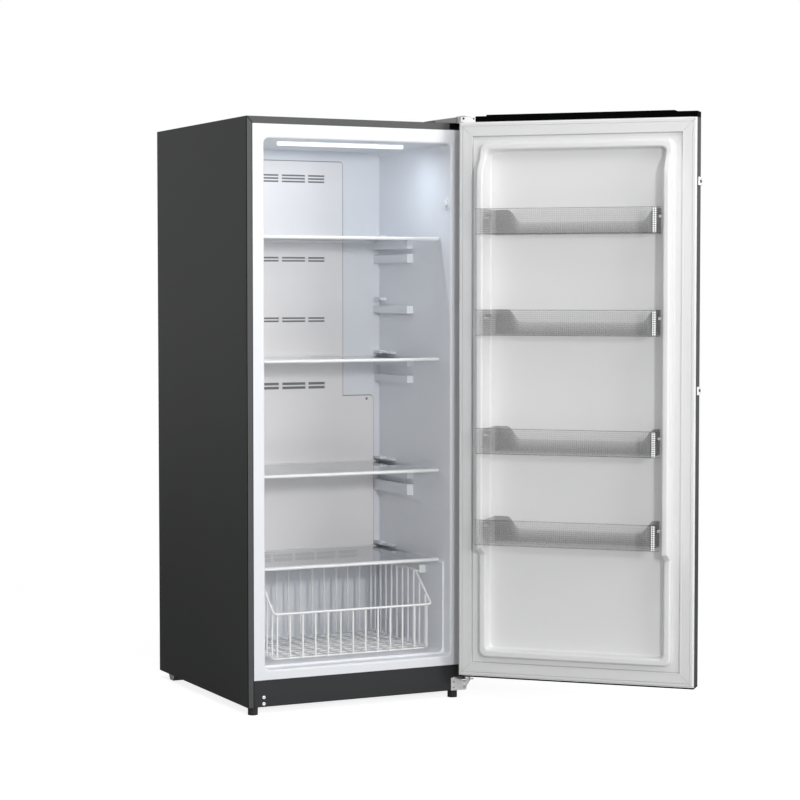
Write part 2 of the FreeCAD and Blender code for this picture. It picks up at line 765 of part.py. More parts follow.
def door_bottom_cap():
    """Black end cap under the door with the bore for the lower pin."""
    z0 = door_bottom - bottom_cap
    cap = box(-half, half, door_front, door_back, z0, door_bottom)
    cap = rounded(cap, Y, bottom_cap - 1, lambda p: p.z < z0 + 1 and p.x < 0)
    bore = rod(pin_r + pin_clearance, vec(pin_x, pin_y, z0 - 1), Z, bottom_cap + 7)
    return fuse([cap, cap_plug(door_bottom, door_bottom + 8)]).cut(bore)


def door_hinge_block():
    """Plated block on the door's upper corner, bored for the upper pin."""
    block = box(half - 4, door_x(49), door_front + 4, door_back - 1, door_top, door_top + cap_height - 0.5)
    return block.cut(rod(pin_r + pin_clearance, vec(pin_x, pin_y, door_top + 1), Z, 20))


liner_low, liner_high = door_bottom + 76.2, door_top - 63.6
bead_low, bead_high = base + 424.0 * spread, base + 442.0 * spread


def raised_liner(inset, y0):
    """The raised form of the door liner from y0 forwards, shrunk by a wall when inset."""
    low_y, high_y, top_y = (door_back + reach - inset for reach in (rim_reach, rail_reach, 18.0))
    z0, z1 = liner_low + inset, liner_high - inset
    outline = [(y0, z0), (low_y, z0), (low_y, bead_low), (high_y, bead_high + inset),
               (high_y, liner_high - 110), (high_y - 6, liner_high - 89), (top_y + 6, liner_high - 42 - inset),
               (top_y, liner_high - 22), (top_y, z1), (y0, z1)]
    x1 = half - rail_outer - inset
    side_view = prism([(-x1, y, z) for y, z in outline], X * (2 * x1))
    corner = max(18.0 - inset, 1.0)
    return side_view.common(round_box(-x1, x1, y0 - 1, high_y + 1, z0, z1, Y, corner))


def liner_hollow(grow, y1):
    """The hollow between the rails from its floor to y1, grown by a wall."""
    x1 = half - rail_outer - rail_width + grow
    return round_box(-x1, x1, door_back - recess - grow, y1, liner_low + rail_width - grow,
                     liner_high - rail_width + grow, Y, 14.0 + grow)


def rail_core():
    """The room inside the liner's rails and rim, which the foam fills."""
    y1 = door_back + rail_reach
    return raised_liner(liner_thick, door_back - liner_thick - 1).cut(liner_hollow(liner_thick, y1))


def door_liner():
    """White moulded liner: flat margin, hollow side rails, low rim and bin lugs."""
    y0, y1 = door_back - liner_thick, door_back + rail_reach + 1
    margin = box(-half + skin_return, half - skin_return, y0, door_back, door_bottom, door_top)
    body = margin.fuse([raised_liner(0, y0), liner_hollow(liner_thick, door_back)])
    body = body.cut([liner_hollow(0, y1), rail_core()])
    lugs = []
    for low in bin_bottoms:
        z = base + low + 44
        lug = box(door_x(86), door_x(104), door_back + 18, door_back + 50, z, z + 10)
        lugs += [lug, mirrored(lug)]
    return body.multiFuse(lugs).removeSplitter()


def door_foam():
    """Foam between the skin and the liner, also inside the liner's rails."""
    block = box(-half + skin, half - skin, door_front + skin, door_back - liner_thick,
                door_bottom + 8, door_top - 9)
    block = rounded(block, Z, 5.0 - skin, lambda p: p.y < door_front + 2)
    block = block.cut(liner_hollow(liner_thick, door_back))
    return block.fuse(rail_core()).removeSplitter()


bulb_height = 9.2         # passes clear of the cabinet as the door closes


def door_gasket():
    """Magnetic seal: a wide foot with a taller bulb along its middle."""
    def ring(outer, inner, height):
        whole = box(-half + outer, half - outer, door_back, door_back + height,
                    door_bottom + outer, door_top - outer)
        return whole.cut(box(-half + inner, half - inner, door_back - 1, door_back + height + 1,
                             door_bottom + inner, door_top - inner))
    return ring(5, 43, 5.5).fuse(ring(9, 38, bulb_height)).removeSplitter()


def bin_back(x_end, side, flat, z_low, z_high, y0):
    """Half of a bin's back wall: its top climbs to full height beside an end wall."""
    curl, foot = x_end - side * flat, x_end - side * (flat + 26)
    outline = [(x_end, z_low), (foot, z_low), (foot + side * 8, z_low + 4), (curl - side * 8, z_high - 4),
               (curl, z_high), (x_end, z_high)]
    return prism([(x, y0, z) for x, z in outline], Y * bin_wall)


def door_bin(low):
    """Clear bin: wide front, floor, end walls and a back that rises at both ends."""
    z0, z1 = base + low, base + low + bin_height
    y0, y1 = door_back - recess + 0.5, door_back + bin_reach
    left, right = door_x(bin_end), -door_x(bin_end)
    low_back = z0 + 34
    face = round_box(door_x(81.5), -door_x(81.0), y1 - bin_wall, y1, z0, z1, Y, 3.0)
    parts = [face, box(right, left, y0, y1 - bin_wall, z0, z0 + bin_wall),
             box(left - bin_wall, left, y0, y1 - bin_wall, z0, z1),
             box(right, right + bin_wall, y0, y1 - bin_wall, z0, z1),
             box(right, left, y0, y0 + bin_wall, z0, low_back),
             bin_back(left, 1, 50, low_back, z1, y0), bin_back(right, -1, 14, low_back, z1, y0)]
    for side in (-1, 1):
        parts.append(box(side * left, side * (left + 15), door_back + 16, door_back + 52,
                         z0 + 54, z0 + 60))
    return fuse(parts)


bar_x = -half + handle_inset
bar_y = door_front - handle_standoff
bracket_wall = 4.0


def handle_bar():
    """Round bar that runs a little past its two brackets."""
    low, high = (base + z for z in handle_heights)
    return rod(handle_r, vec(bar_x, bar_y, low - 30), Z, high - low + 60)


def handle_brackets():
    """Two brackets that wrap the door's free edge and cradle the bar."""
    x0, x1 = -half - bracket_wall, bar_x + 20
    y_grip = bar_y - 2
    outline = [(-half, door_back - 8), (x0, door_back - 8), (x0, door_front + 2), (x0 + 5, door_front - 6),
               (x0 + 12, door_front - 10), (bar_x - 15, door_front - 22), (bar_x - 13, y_grip),
               (bar_x + 13, y_grip), (bar_x + 15, door_front - 22), (x1, door_front - 4),
               (x1, door_front), (-half, door_front)]
    parts = []
    for height in handle_heights:
        z = base + height - bracket_height / 2
        parts.append(prism([(x, y, z) for x, y in outline], Z * bracket_height))
    return parts


# ---- Build --------------------------------------------------------------------------
def swing(shape):
    """Turn a piece of the closed door to its open place."""
    turned = shape.copy()
    turned.rotate(vec(pin_x, pin_y, 0), Z, open_angle)
    return turned


def build_cabinet():
    nodes["cabinet_shell"] = cabinet_shell()
    nodes["back_panel"] = back_panel()
    nodes["base_pan"] = base_pan()
    nodes["base_rails"] = base_rails()
    nodes["base_cross_plate"] = base_cross_plate()
    nodes["compressor_tray"] = compressor_tray()
    nodes["cabinet_foam"] = cabinet_foam()
    nodes["inner_liner"] = inner_liner()
    nodes["kick_panel"] = kick_panel()
    nodes["machine_cover"] = machine_cover()
    nodes["compressor"] = compressor()
    nodes["compressor_feet"] = compressor_feet()
    nodes["condenser"] = condenser()
    nodes["condenser_fan"] = condenser_fan()
    nodes["fan_motor"] = fan_motor()
    nodes["back_cover"] = back_cover()
    nodes["led_lens"] = led_lens()
    nodes["basket_rails"] = basket_rails()
    nodes["switch_button"] = switch_button()
    nodes["top_hinge"] = top_hinge()
    nodes["top_hinge_cover"] = top_hinge_cover()
    nodes["bottom_hinge"] = bottom_hinge()
    for name in foot_places:
        nodes["foot_" + name] = foot(name)


def build_inside():
    for n, height in enumerate(shelf_heights, 1):
        nodes[f"shelf_{n}_glass"] = shelf_glass(height)
        nodes[f"shelf_{n}_trim"] = shelf_trim(height)
    nodes["basket_rim"] = basket_rim()
    for name, wires in basket_combs().items():
        nodes["basket_" + name] = Part.makeCompound(wires)


def build_door():
    bar = handle_bar()
    seat = rod(handle_r + 0.02, vec(bar_x, bar_y, base), Z, shell_height)
    brackets = [bracket.cut(seat) for bracket in handle_brackets()]
    closed = {
        "door_skin": door_skin(),
        "door_foam": door_foam(),
        "door_liner": door_liner(),
        "door_gasket": door_gasket(),
        "door_top_cap": door_top_cap(),
        "door_bottom_cap": door_bottom_cap(),
        "door_hinge_block": door_hinge_block(),
        "handle_bar": bar,
        "handle_brackets": Part.makeCompound(brackets),
    }
    for n, low in enumerate(bin_bottoms, 1):
        closed[f"door_bin_{n}"] = door_bin(low)
    for name, shape in closed.items():
        nodes[name] = swing(shape)


build_cabinet()
build_inside()
build_door()

os.makedirs("parts", exist_ok=True)
for name, shape in nodes.items():
    shape.exportStep(f"parts/{name}.step")
    print(name, len(shape.Solids), "solids", "" if shape.isValid() else "not valid")
print(len(nodes), "nodes")
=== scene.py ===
# %% [markdown]
# # An upright freezer with its door open
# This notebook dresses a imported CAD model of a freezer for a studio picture. The model gives every size and
# every moving part. Here each piece gets its finish, and the pieces that CAD keeps plain, such as wires,
# screws and clear bins, are modelled again by hand.

# %% Load the frame
import bmesh
import bpy
import json
import math
from mathutils import Matrix, Vector

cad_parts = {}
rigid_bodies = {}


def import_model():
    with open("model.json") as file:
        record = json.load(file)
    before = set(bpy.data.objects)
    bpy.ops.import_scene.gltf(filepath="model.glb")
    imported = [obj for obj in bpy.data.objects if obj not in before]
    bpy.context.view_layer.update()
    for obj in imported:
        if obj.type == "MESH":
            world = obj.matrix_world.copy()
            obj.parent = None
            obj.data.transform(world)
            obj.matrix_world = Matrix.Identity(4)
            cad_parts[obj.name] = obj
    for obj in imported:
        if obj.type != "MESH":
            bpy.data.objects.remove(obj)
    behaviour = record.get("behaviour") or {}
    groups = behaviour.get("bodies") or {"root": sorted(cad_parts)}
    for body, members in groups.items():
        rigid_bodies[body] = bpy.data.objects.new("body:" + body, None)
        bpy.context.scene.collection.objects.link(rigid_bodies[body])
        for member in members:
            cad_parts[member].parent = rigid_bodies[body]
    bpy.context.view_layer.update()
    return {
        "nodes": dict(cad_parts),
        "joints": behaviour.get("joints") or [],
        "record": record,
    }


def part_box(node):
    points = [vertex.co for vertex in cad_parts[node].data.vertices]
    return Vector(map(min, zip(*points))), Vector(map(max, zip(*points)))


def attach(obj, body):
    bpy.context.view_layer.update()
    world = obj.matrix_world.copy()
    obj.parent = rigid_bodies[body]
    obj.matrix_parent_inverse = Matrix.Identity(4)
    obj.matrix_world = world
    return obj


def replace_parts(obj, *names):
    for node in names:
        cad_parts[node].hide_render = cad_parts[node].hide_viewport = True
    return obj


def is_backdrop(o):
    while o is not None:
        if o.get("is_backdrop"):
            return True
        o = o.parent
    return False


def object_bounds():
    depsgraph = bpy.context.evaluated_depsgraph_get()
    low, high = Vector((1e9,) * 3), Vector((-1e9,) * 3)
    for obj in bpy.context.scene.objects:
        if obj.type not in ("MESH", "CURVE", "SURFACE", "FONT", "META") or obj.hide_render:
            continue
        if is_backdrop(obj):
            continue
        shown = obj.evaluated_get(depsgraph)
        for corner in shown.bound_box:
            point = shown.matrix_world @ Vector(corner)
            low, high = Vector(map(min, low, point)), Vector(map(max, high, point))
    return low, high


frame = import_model()
nodes = frame["nodes"]
bodies = frame["record"]["behaviour"]["bodies"]
body_of = {node: body for body, group in bodies.items() for node in group}

# %% [markdown]
# ## Camera
# A freezer is a tall box, and a near camera would make its upright edges lean together. So the camera
# stands about seven metres away with a long lens, a little above half the cabinet's height. A direction to
# look in is easier to adjust than three angles, so to_track_quat turns it into a rotation.

# %% Camera
camera_data = bpy.data.cameras.new("Studio camera")
camera = bpy.data.objects.new("Studio camera", camera_data)
bpy.context.scene.collection.objects.link(camera)
camera_data.lens = 100.6
camera_data.sensor_width = 36
camera.location = (-2.7866, -6.2873, 1.2223)
looking = Vector((0.4417, 0.8959, -0.0485))
camera.rotation_euler = looking.to_track_quat("-Z", "Y").to_euler()
bpy.context.scene.camera = camera
print("camera stands", round(camera.location.length, 2), "m away")

# %% [markdown]
# ## Lamps and world
# Seven flat lamps stand round the open side. A small key lamp far in front draws the thin shadows under the
# shelves and bins. Two on the right light the open door, one high in front the inside, one above the roof,
# one on the left the grey side, and a weak one near the floor the plinth. One big lamp could light it all,
# but the shelves would hide most of the inside. The world gives a little light from all round. It turns
# plain white for the rays that the camera, glass and metal see.

# %% A lamp, and the seven of them
def lamp(name, wide, high, power, place, aim=(0.0, -0.37, 0.9), colour=(1, 1, 1)):
    """A flat studio lamp that looks at a point, the middle of the cabinet unless told."""
    data = bpy.data.lights.new(name, "AREA")
    data.shape = "RECTANGLE"
    data.size = wide
    data.size_y = high
    data.energy = power
    data.color = colour
    light = bpy.data.objects.new(name, data)
    light.location = place
    light.visible_camera = False
    light.rotation_euler = (Vector(aim) - Vector(place)).to_track_quat("-Z", "Y").to_euler()
    bpy.context.scene.collection.objects.link(light)
    return light


lamp("Key lamp", 0.35, 0.35, 75, (-0.77, -6.0, 1.75))
lamp("Right lamp", 1.6, 1.6, 56, (2.6, -5.2, 1.9))
lamp("Right panel", 2.4, 2.4, 50, (3.4, -3.6, 1.6))
lamp("Front top panel", 3.0, 1.6, 38, (0.0, -2.4, 3.4))
lamp("Top panel", 3.0, 3.0, 26, (0.0, 0.0, 4.2))
lamp("Near left panel", 1.6, 2.4, 9.7, (-2.4, -2.4, 1.3))
lamp("Low panel", 2.4, 0.8, 6.5, (-0.6, -3.4, 0.15))
print("studio lamps:", len(bpy.data.lights))

# %% Two kinds of node that recur
def math_node(tree, operation, *sources):
    """The output of a Math node fed by one or two sockets."""
    made = tree.nodes.new("ShaderNodeMath")
    made.operation = operation
    for socket, source in zip(made.inputs, sources):
        tree.links.new(source, socket)
    return made.outputs[0]


def spread_node(tree, source, least, most):
    """Spreads a socket's 0 to 1 over least to most."""
    made = tree.nodes.new("ShaderNodeMapRange")
    made.inputs["To Min"].default_value = least
    made.inputs["To Max"].default_value = most
    tree.links.new(source, made.inputs["Value"])
    return made.outputs["Result"]


# %% World
light_given, white_shown = 0.10, 1.0
world = bpy.data.worlds.new("Studio")
bpy.context.scene.world = world
world.use_nodes = True
tree = world.node_tree
background = tree.nodes["Background"]
background.inputs["Color"].default_value = (1, 1, 1, 1)
ray = tree.nodes.new("ShaderNodeLightPath").outputs
seen = math_node(tree, "MAXIMUM", ray["Is Camera Ray"], ray["Is Glossy Ray"])
seen = math_node(tree, "MAXIMUM", seen, ray["Is Transmission Ray"])
level = spread_node(tree, seen, light_given, white_shown)
tree.links.new(level, background.inputs["Strength"])
bpy.context.scene.view_settings.view_transform = "Standard"
print("world:", light_given, "as light,", white_shown, "as background")

# %% [markdown]
# ## Working by hand
# An operator acts on whatever is selected, and a loaded model or an earlier piece may still be. So everything
# is deselected first, and each helper leaves one object selected. A finished piece sits at the origin with
# its place in its mesh, which keeps its pattern still when the part is posed.

# %% Select and apply
def only(piece):
    """Select one object and nothing else."""
    bpy.ops.object.select_all(action="DESELECT")
    piece.select_set(True)
    bpy.context.view_layer.objects.active = piece


def edit(piece):
    """Open one object, and nothing else, in edit mode."""
    only(piece)
    bpy.ops.object.mode_set(mode="EDIT")


def select_mesh():
    """In edit mode, select the whole mesh."""
    bpy.ops.mesh.select_all(action="SELECT")


def close():
    """Back to object mode."""
    bpy.ops.object.mode_set(mode="OBJECT")


def settle(piece):
    """Move the object's place, turn and scale into its mesh."""
    only(piece)
    bpy.ops.object.transform_apply(location=True, rotation=True, scale=True)
    return piece


def apply_all(piece):
    """Apply every modifier, from first to last."""
    only(piece)
    for modifier in list(piece.modifiers):
        bpy.ops.object.modifier_apply(modifier=modifier.name)
    return piece


# %% Shade and round
def shade(piece, angle):
    """Smooth across edges below angle, and keep the flat faces flat."""
    only(piece)
    bpy.ops.object.shade_smooth_by_angle(angle=math.radians(angle))
    even = piece.modifiers.new("Flat faces", "WEIGHTED_NORMAL")
    even.keep_sharp = True
    return apply_all(piece)


def round_edges(piece, width, segments=2, angle=35):
    """Round the sharp edges."""
    bevel = piece.modifiers.new("Rounded edges", "BEVEL")
    bevel.width = width
    bevel.segments = segments
    bevel.limit_method = "ANGLE"
    bevel.angle_limit = math.radians(angle)
    bevel.use_clamp_overlap = True
    return shade(apply_all(piece), 50)


# %% Blocks, joins and copies
merge_reach = 0.00001     # points closer than this are one point


def block(name, low, high):
    """A box between two corners, ready to be shaped."""
    low, high = Vector(low), Vector(high)
    bpy.ops.object.select_all(action="DESELECT")
    bpy.ops.mesh.primitive_cube_add(size=1, location=(low + high) / 2)
    piece = bpy.context.object
    piece.name = name
    piece.scale = high - low
    return settle(piece)


def joined(name, parts):
    """Several objects made one."""
    only(parts[0])
    for part in parts:
        part.select_set(True)
    bpy.ops.object.join()
    parts[0].name = name
    return parts[0]


def copied(piece, name, shift):
    """A copy with its own mesh, moved by shift."""
    only(piece)
    bpy.ops.object.duplicate()
    copy = bpy.context.object
    copy.name = name
    copy.location = shift
    return settle(copy)


def merged_copy(node, name):
    """A copy of a CAD node whose loose triangles are joined into whole faces."""
    piece = bpy.data.objects.new(name, nodes[node].data.copy())
    bpy.context.scene.collection.objects.link(piece)
    edit(piece)
    select_mesh()
    bpy.ops.mesh.remove_doubles(threshold=merge_reach)
    bpy.ops.mesh.dissolve_limited(angle_limit=math.radians(1))
    close()
    return piece


def wear(piece, material):
    """Give a piece one material."""
    piece.data.materials.clear()
    piece.data.materials.append(material)


# %% [markdown]
# ## Finishes
# Each effect that finishes share is a small node group: the fine pebbles of sprayed paint, the dull grain
# of moulded plastic, the lines of brushed metal, the flakes of galvanised sheet and the cells of foam.

# %% Shared patterns
def new_group(name, inputs, outputs):
    """An empty node group with number inputs and outputs."""
    group = bpy.data.node_groups.new(name, "ShaderNodeTree")
    for title, value in inputs:
        socket = group.interface.new_socket(title, in_out="INPUT", socket_type="NodeSocketFloat")
        socket.default_value = value
    for title in outputs:
        group.interface.new_socket(title, in_out="OUTPUT", socket_type="NodeSocketFloat")
    return group, group.nodes.new("NodeGroupInput"), group.nodes.new("NodeGroupOutput")


def pebble_group(name, fine, stretch=(1, 1, 1), kind="NOISE"):
    """A fine pattern for height and roughness, with a slow drift for colour."""
    group, inside, outside = new_group(name, [("Scale", fine)], ["Pattern", "Drift"])
    link = group.links.new
    place = group.nodes.new("ShaderNodeTexCoord")
    mapping = group.nodes.new("ShaderNodeMapping")
    mapping.inputs["Scale"].default_value = stretch
    link(place.outputs["Object"], mapping.inputs["Vector"])
    if kind == "CELLS":
        pattern = group.nodes.new("ShaderNodeTexVoronoi")
        result = pattern.outputs["Color"]
    else:
        pattern = group.nodes.new("ShaderNodeTexNoise")
        pattern.inputs["Detail"].default_value = 3
        result = pattern.outputs["Fac"]
    link(mapping.outputs["Vector"], pattern.inputs["Vector"])
    link(inside.outputs["Scale"], pattern.inputs["Scale"])
    link(result, outside.inputs["Pattern"])
    drift = group.nodes.new("ShaderNodeTexNoise")
    drift.inputs["Scale"].default_value = 3.0
    drift.inputs["Detail"].default_value = 2
    link(place.outputs["Object"], drift.inputs["Vector"])
    link(drift.outputs["Fac"], outside.inputs["Drift"])
    return group


orange_peel = pebble_group("Orange peel", 420)
mould_grain = pebble_group("Mould grain", 900)
brushed_lines = pebble_group("Brushed lines", 260, (8, 8, 0.25))
zinc_flakes = pebble_group("Zinc flakes", 90, kind="CELLS")
foam_cells = pebble_group("Foam cells", 320, kind="CELLS")
print("shared patterns:", len(bpy.data.node_groups))


# %% [markdown]
# ## From a pattern to a finish
# Real paint and plastic are never one flat colour. Every material here mixes two close shades of its colour
# by the slow drift, and the fine pattern moves the roughness and lifts the surface a little. What is the
# same all over, such as coat, is set on the shader itself.

# %% A finish from a pattern
bump_depth = 0.0002
came_with_model = len(bpy.data.materials)


def finish_count():
    """How many finishes there are, beside the materials that came with the model."""
    return len(bpy.data.materials) - came_with_model


def finish(name, group, colour, rough, spread=0.06, tint=0.08, bump=0.1, **sockets):
    """A material: colour drifts by tint, roughness by spread, and the pattern lifts the surface."""
    material = bpy.data.materials.new(name)
    material.use_nodes = True
    tree = material.node_tree
    link = tree.links.new
    shader = tree.nodes["Principled BSDF"]
    pattern = tree.nodes.new("ShaderNodeGroup")
    pattern.node_tree = group
    mix = tree.nodes.new("ShaderNodeMix")
    mix.data_type = "RGBA"
    dark = [c * (1 - tint) for c in colour]
    light = [min(c * (1 + tint), 1) for c in colour]
    mix.inputs["A"].default_value = (*dark, 1)
    mix.inputs["B"].default_value = (*light, 1)
    link(pattern.outputs["Drift"], mix.inputs["Factor"])
    link(mix.outputs["Result"], shader.inputs["Base Color"])
    dull = spread_node(tree, pattern.outputs["Pattern"], max(rough - spread, 0.0), rough + spread)
    link(dull, shader.inputs["Roughness"])
    lift = tree.nodes.new("ShaderNodeBump")
    lift.inputs["Strength"].default_value = bump
    lift.inputs["Distance"].default_value = bump_depth
    link(pattern.outputs["Pattern"], lift.inputs["Height"])
    link(lift.outputs["Normal"], shader.inputs["Normal"])
    for socket, value in sockets.items():
        shader.inputs[socket.replace("_", " ")].default_value = value
    return material


# %% Paints and sheet metals
graphite = finish("Graphite paint", orange_peel, (0.047, 0.048, 0.049), 0.50, Specular_IOR_Level=0.12)
kick_paint = finish("Plinth paint", orange_peel, (0.025, 0.026, 0.027), 0.5, Specular_IOR_Level=0.3)
# The lip paint is the graphite made lighter and glossier: painted light on the lip, which faces the lamps.
lit_lip_paint = finish("Folded lip paint", orange_peel, (0.070, 0.071, 0.072), 0.42, Specular_IOR_Level=0.3)
can_paint = finish("Compressor paint", orange_peel, (0.012, 0.012, 0.012), 0.3, bump=0.25, Coat_Weight=0.5)
wire_coat = finish("Wire coating", orange_peel, (0.93, 0.93, 0.93), 0.3, tint=0.02, Coat_Weight=0.3)
zinc = finish("Zinc plate", brushed_lines, (0.93, 0.93, 0.92), 0.38, tint=0.04, Metallic=0.25)
bright_zinc = finish("Bright zinc", brushed_lines, (0.97, 0.97, 0.96), 0.30, tint=0.02, Metallic=0.8)
galvanised = finish("Galvanised sheet", zinc_flakes, (0.50, 0.51, 0.52), 0.42, tint=0.15, Metallic=0.9)
black_steel = finish("Black screw steel", brushed_lines, (0.02, 0.02, 0.02), 0.4, Metallic=0.6)
handle_steel = finish("Brushed steel", brushed_lines, (0.33, 0.33, 0.34), 0.33, Metallic=1.0)
fin_metal = finish("Fin metal", brushed_lines, (0.62, 0.62, 0.63), 0.35, Metallic=0.9)
print("paints and metals:", finish_count())

# %% Plastics, rubber and foam
white_liner = finish("White liner", mould_grain, (0.835, 0.85, 0.885), 0.40, tint=0.01)
door_white = finish("Door liner", mould_grain, (0.82, 0.82, 0.82), 0.40, tint=0.01)
cover_white = finish("Back cover plastic", mould_grain, (0.89, 0.865, 0.865), 0.40, tint=0.01)
white_trim = finish("White trim", mould_grain, (0.86, 0.87, 0.87), 0.3, tint=0.01)
black_cap = finish("Black cap plastic", mould_grain, (0.0015, 0.0015, 0.0015), 0.8, Specular_IOR_Level=0.02)
grey_plastic = finish("Grey plastic", mould_grain, (0.20, 0.20, 0.20), 0.5)
fan_plastic = finish("Fan plastic", mould_grain, (0.03, 0.03, 0.03), 0.55)
# A dark grey that paints the shade in the gap round the back cover and inside its air slots.
duct_shade = finish("Inside of the duct", mould_grain, (0.23, 0.23, 0.23), 0.8, tint=0.1)
seal = finish("Grey seal", mould_grain, (0.78, 0.78, 0.78), 0.6, tint=0.02)
weld_grey = finish("Weld grey", mould_grain, (0.52, 0.52, 0.52), 0.7, tint=0.1)
# A mid grey that paints the shadow in the gap just inside the gasket.
gap_shadow_grey = finish("Joint grey", mould_grain, (0.50, 0.50, 0.50), 0.7, tint=0.1)
rubber = finish("Black rubber", mould_grain, (0.015, 0.015, 0.015), 0.7, tint=0.15, bump=0.25)
foam = finish("Foam", foam_cells, (0.80, 0.72, 0.48), 0.9, tint=0.1, bump=0.4)
print("with plastics, rubber and foam:", finish_count())

# %% [markdown]
# ## Glass and lamp lens
# A shelf is a plate of clear float glass, so light passes through it, and it is polished, so its roughness
# is almost nothing. The lens over the light under the ceiling is milky and glows by itself.

# %% Glass and lens
shelf_glass = finish("Shelf glass", mould_grain, (0.86, 0.89, 0.91), 0.002, spread=0.002, tint=0.02,
                     bump=0.0, Transmission_Weight=1.0, IOR=1.45)
lamp_lens = finish("Lamp lens", mould_grain, (0.92, 0.95, 1.0), 0.4, tint=0.01,
                   Emission_Color=(0.86, 0.93, 1.0, 1), Emission_Strength=0.9)
print("with glass and lens:", finish_count())

# %% [markdown]
# ## Cabinet
# The CAD shapes of the sheet metal and the mouldings are right as they are, apart from their sharp edges. A
# copy of each is joined into whole faces and its edges are rounded, as a press or a mould leaves them. A
# rounded edge catches a thin line of light, and without it a picture looks drawn.

# %% Rounded copies of the CAD pieces
edge_and_finish = {
    "cabinet_shell": (0.0008, graphite),
    "kick_panel": (0.0006, kick_paint),
    "inner_liner": (0.0015, white_liner),
    "basket_rails": (0.0015, white_trim),
    "led_lens": (0.0010, lamp_lens),
    "top_hinge": (0.0006, zinc),
    "bottom_hinge": (0.0006, bright_zinc),
    "top_hinge_cover": (0.0012, grey_plastic),
    "machine_cover": (0.0004, galvanised),
    "back_panel": (0.0004, galvanised),
    "door_skin": (0.0004, graphite),
    "door_top_cap": (0.0010, black_cap),
    "door_bottom_cap": (0.0010, black_cap),
    "door_hinge_block": (0.0008, zinc),
    "handle_brackets": (0.0010, bright_zinc),
}
for node, (edge, material) in edge_and_finish.items():
    piece = round_edges(merged_copy(node, node + "_finished"), edge)
    wear(piece, material)
    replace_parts(piece, node)
    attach(piece, body_of[node])
    print(node, len(piece.data.polygons))

# %% The shell's front-facing lip gets a lighter, glossier copy of the paint, which paints the light falling on it
shell = bpy.data.objects["cabinet_shell_finished"]
shell.data.materials.append(lit_lip_paint)
# Faces that face the front take the lighter paint: painted light, not a different paint.
for face in shell.data.polygons:
    face.material_index = int(face.normal.y < -0.9)
print("faces of the lip:", sum(face.material_index for face in shell.data.polygons))

# %% CAD pieces that only need their finish
finish_of = {
    "base_pan": galvanised, "base_rails": galvanised, "base_cross_plate": galvanised,
    "compressor_tray": galvanised, "cabinet_foam": foam, "compressor": can_paint,
    "compressor_feet": rubber, "condenser": fin_metal, "condenser_fan": fan_plastic,
    "fan_motor": galvanised, "back_cover": cover_white, "switch_button": white_trim,
    "handle_bar": handle_steel, "foot_left": rubber, "foot_right": rubber,
}
for n in range(1, 5):
    finish_of[f"shelf_{n}_glass"] = shelf_glass
    finish_of[f"shelf_{n}_trim"] = white_trim
for node, material in finish_of.items():
    wear(nodes[node], material)
print("finished as they are:", len(finish_of))

# %% [markdown]
# ## Painted shade round and in the back cover
# The back cover stands a little proud of the liner, and the shadow in the gap all round it is painted dark.
# The cover is T-shaped, so two dark blocks stand behind it, a wide one below and a narrow one above, that
# stand out by the gap's width. They also paint the shade inside the air slots. Low on the cover the shade in
# the return slots is painted as short dark bars in rows.

# %% Painted shadow round the back cover
cover_low, cover_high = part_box("back_cover")
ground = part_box("kick_panel")[0].z      # the foot of the shell
cover_shadow_wide, cover_shadow_corner = 0.0023, 0.0123
cover_shadow_front, cover_shadow_back = cover_low.y + 0.0031, cover_high.y + 0.0002
tower_half = 0.1695                     # half the width of the cover's upper part
shoulder_z = ground + 0.870             # where the cover gets narrower
overlap = 0.030                         # of the two dark blocks


def rounded_block(name, low, high, radius):
    """A block whose four edges along y are rounded."""
    piece = block(name, low, high)
    edit(piece)
    mesh = bmesh.from_edit_mesh(piece.data)
    for edge in mesh.edges:
        edge.select_set(abs((edge.verts[0].co - edge.verts[1].co).normalized().y) > 0.9)
    bpy.ops.mesh.bevel(offset=radius, segments=4, affect="EDGES")
    close()
    return piece


# Two dark blocks behind the cover paint the shadow in the gap round it and the shade inside its air slots.
wide_part = rounded_block("joint", (cover_low.x - cover_shadow_wide, cover_shadow_front, cover_low.z - cover_shadow_wide),
                          (cover_high.x + cover_shadow_wide, cover_shadow_back, shoulder_z + cover_shadow_wide), cover_shadow_corner)
tall_part = rounded_block("joint", (-tower_half - cover_shadow_wide, cover_shadow_front, shoulder_z - overlap),
                          (tower_half + cover_shadow_wide, cover_shadow_back, cover_high.z + cover_shadow_wide), cover_shadow_corner)
cover_shadow = round_edges(joined("back_cover_joint", [wide_part, tall_part]), 0.0002, segments=1)
wear(cover_shadow, duct_shade)
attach(cover_shadow, "cabinet")
print(cover_shadow.name, len(cover_shadow.data.polygons))

# %% Return slots, with the shade inside them painted as dark bars
slot_columns, slot_rows = 6, 4
column_pitch, row_pitch = 0.0730, 0.0066
slot_wide, slot_high = 0.064, 0.0036
first_row = ground + 0.3750
slot_proud, slot_deep = 0.0002, 0.0006
# Each slot is a thin dark bar on the cover that paints the shade inside the opening.
slot = rounded_block("slot", (-slot_wide / 2, cover_low.y - slot_proud, -slot_high / 2),
                     (slot_wide / 2, cover_low.y + slot_deep, slot_high / 2), slot_high * 0.4)
first_column = -(slot_columns - 1) / 2 * column_pitch
slots = [copied(slot, "slot", (first_column + column * column_pitch, 0, first_row - row * row_pitch))
         for column in range(slot_columns) for row in range(slot_rows)]
bpy.data.objects.remove(slot)
return_slot_shade = joined("back_cover_return_slots", slots)
wear(return_slot_shade, fan_plastic)
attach(return_slot_shade, "cabinet")
print(return_slot_shade.name, len(return_slot_shade.data.polygons))
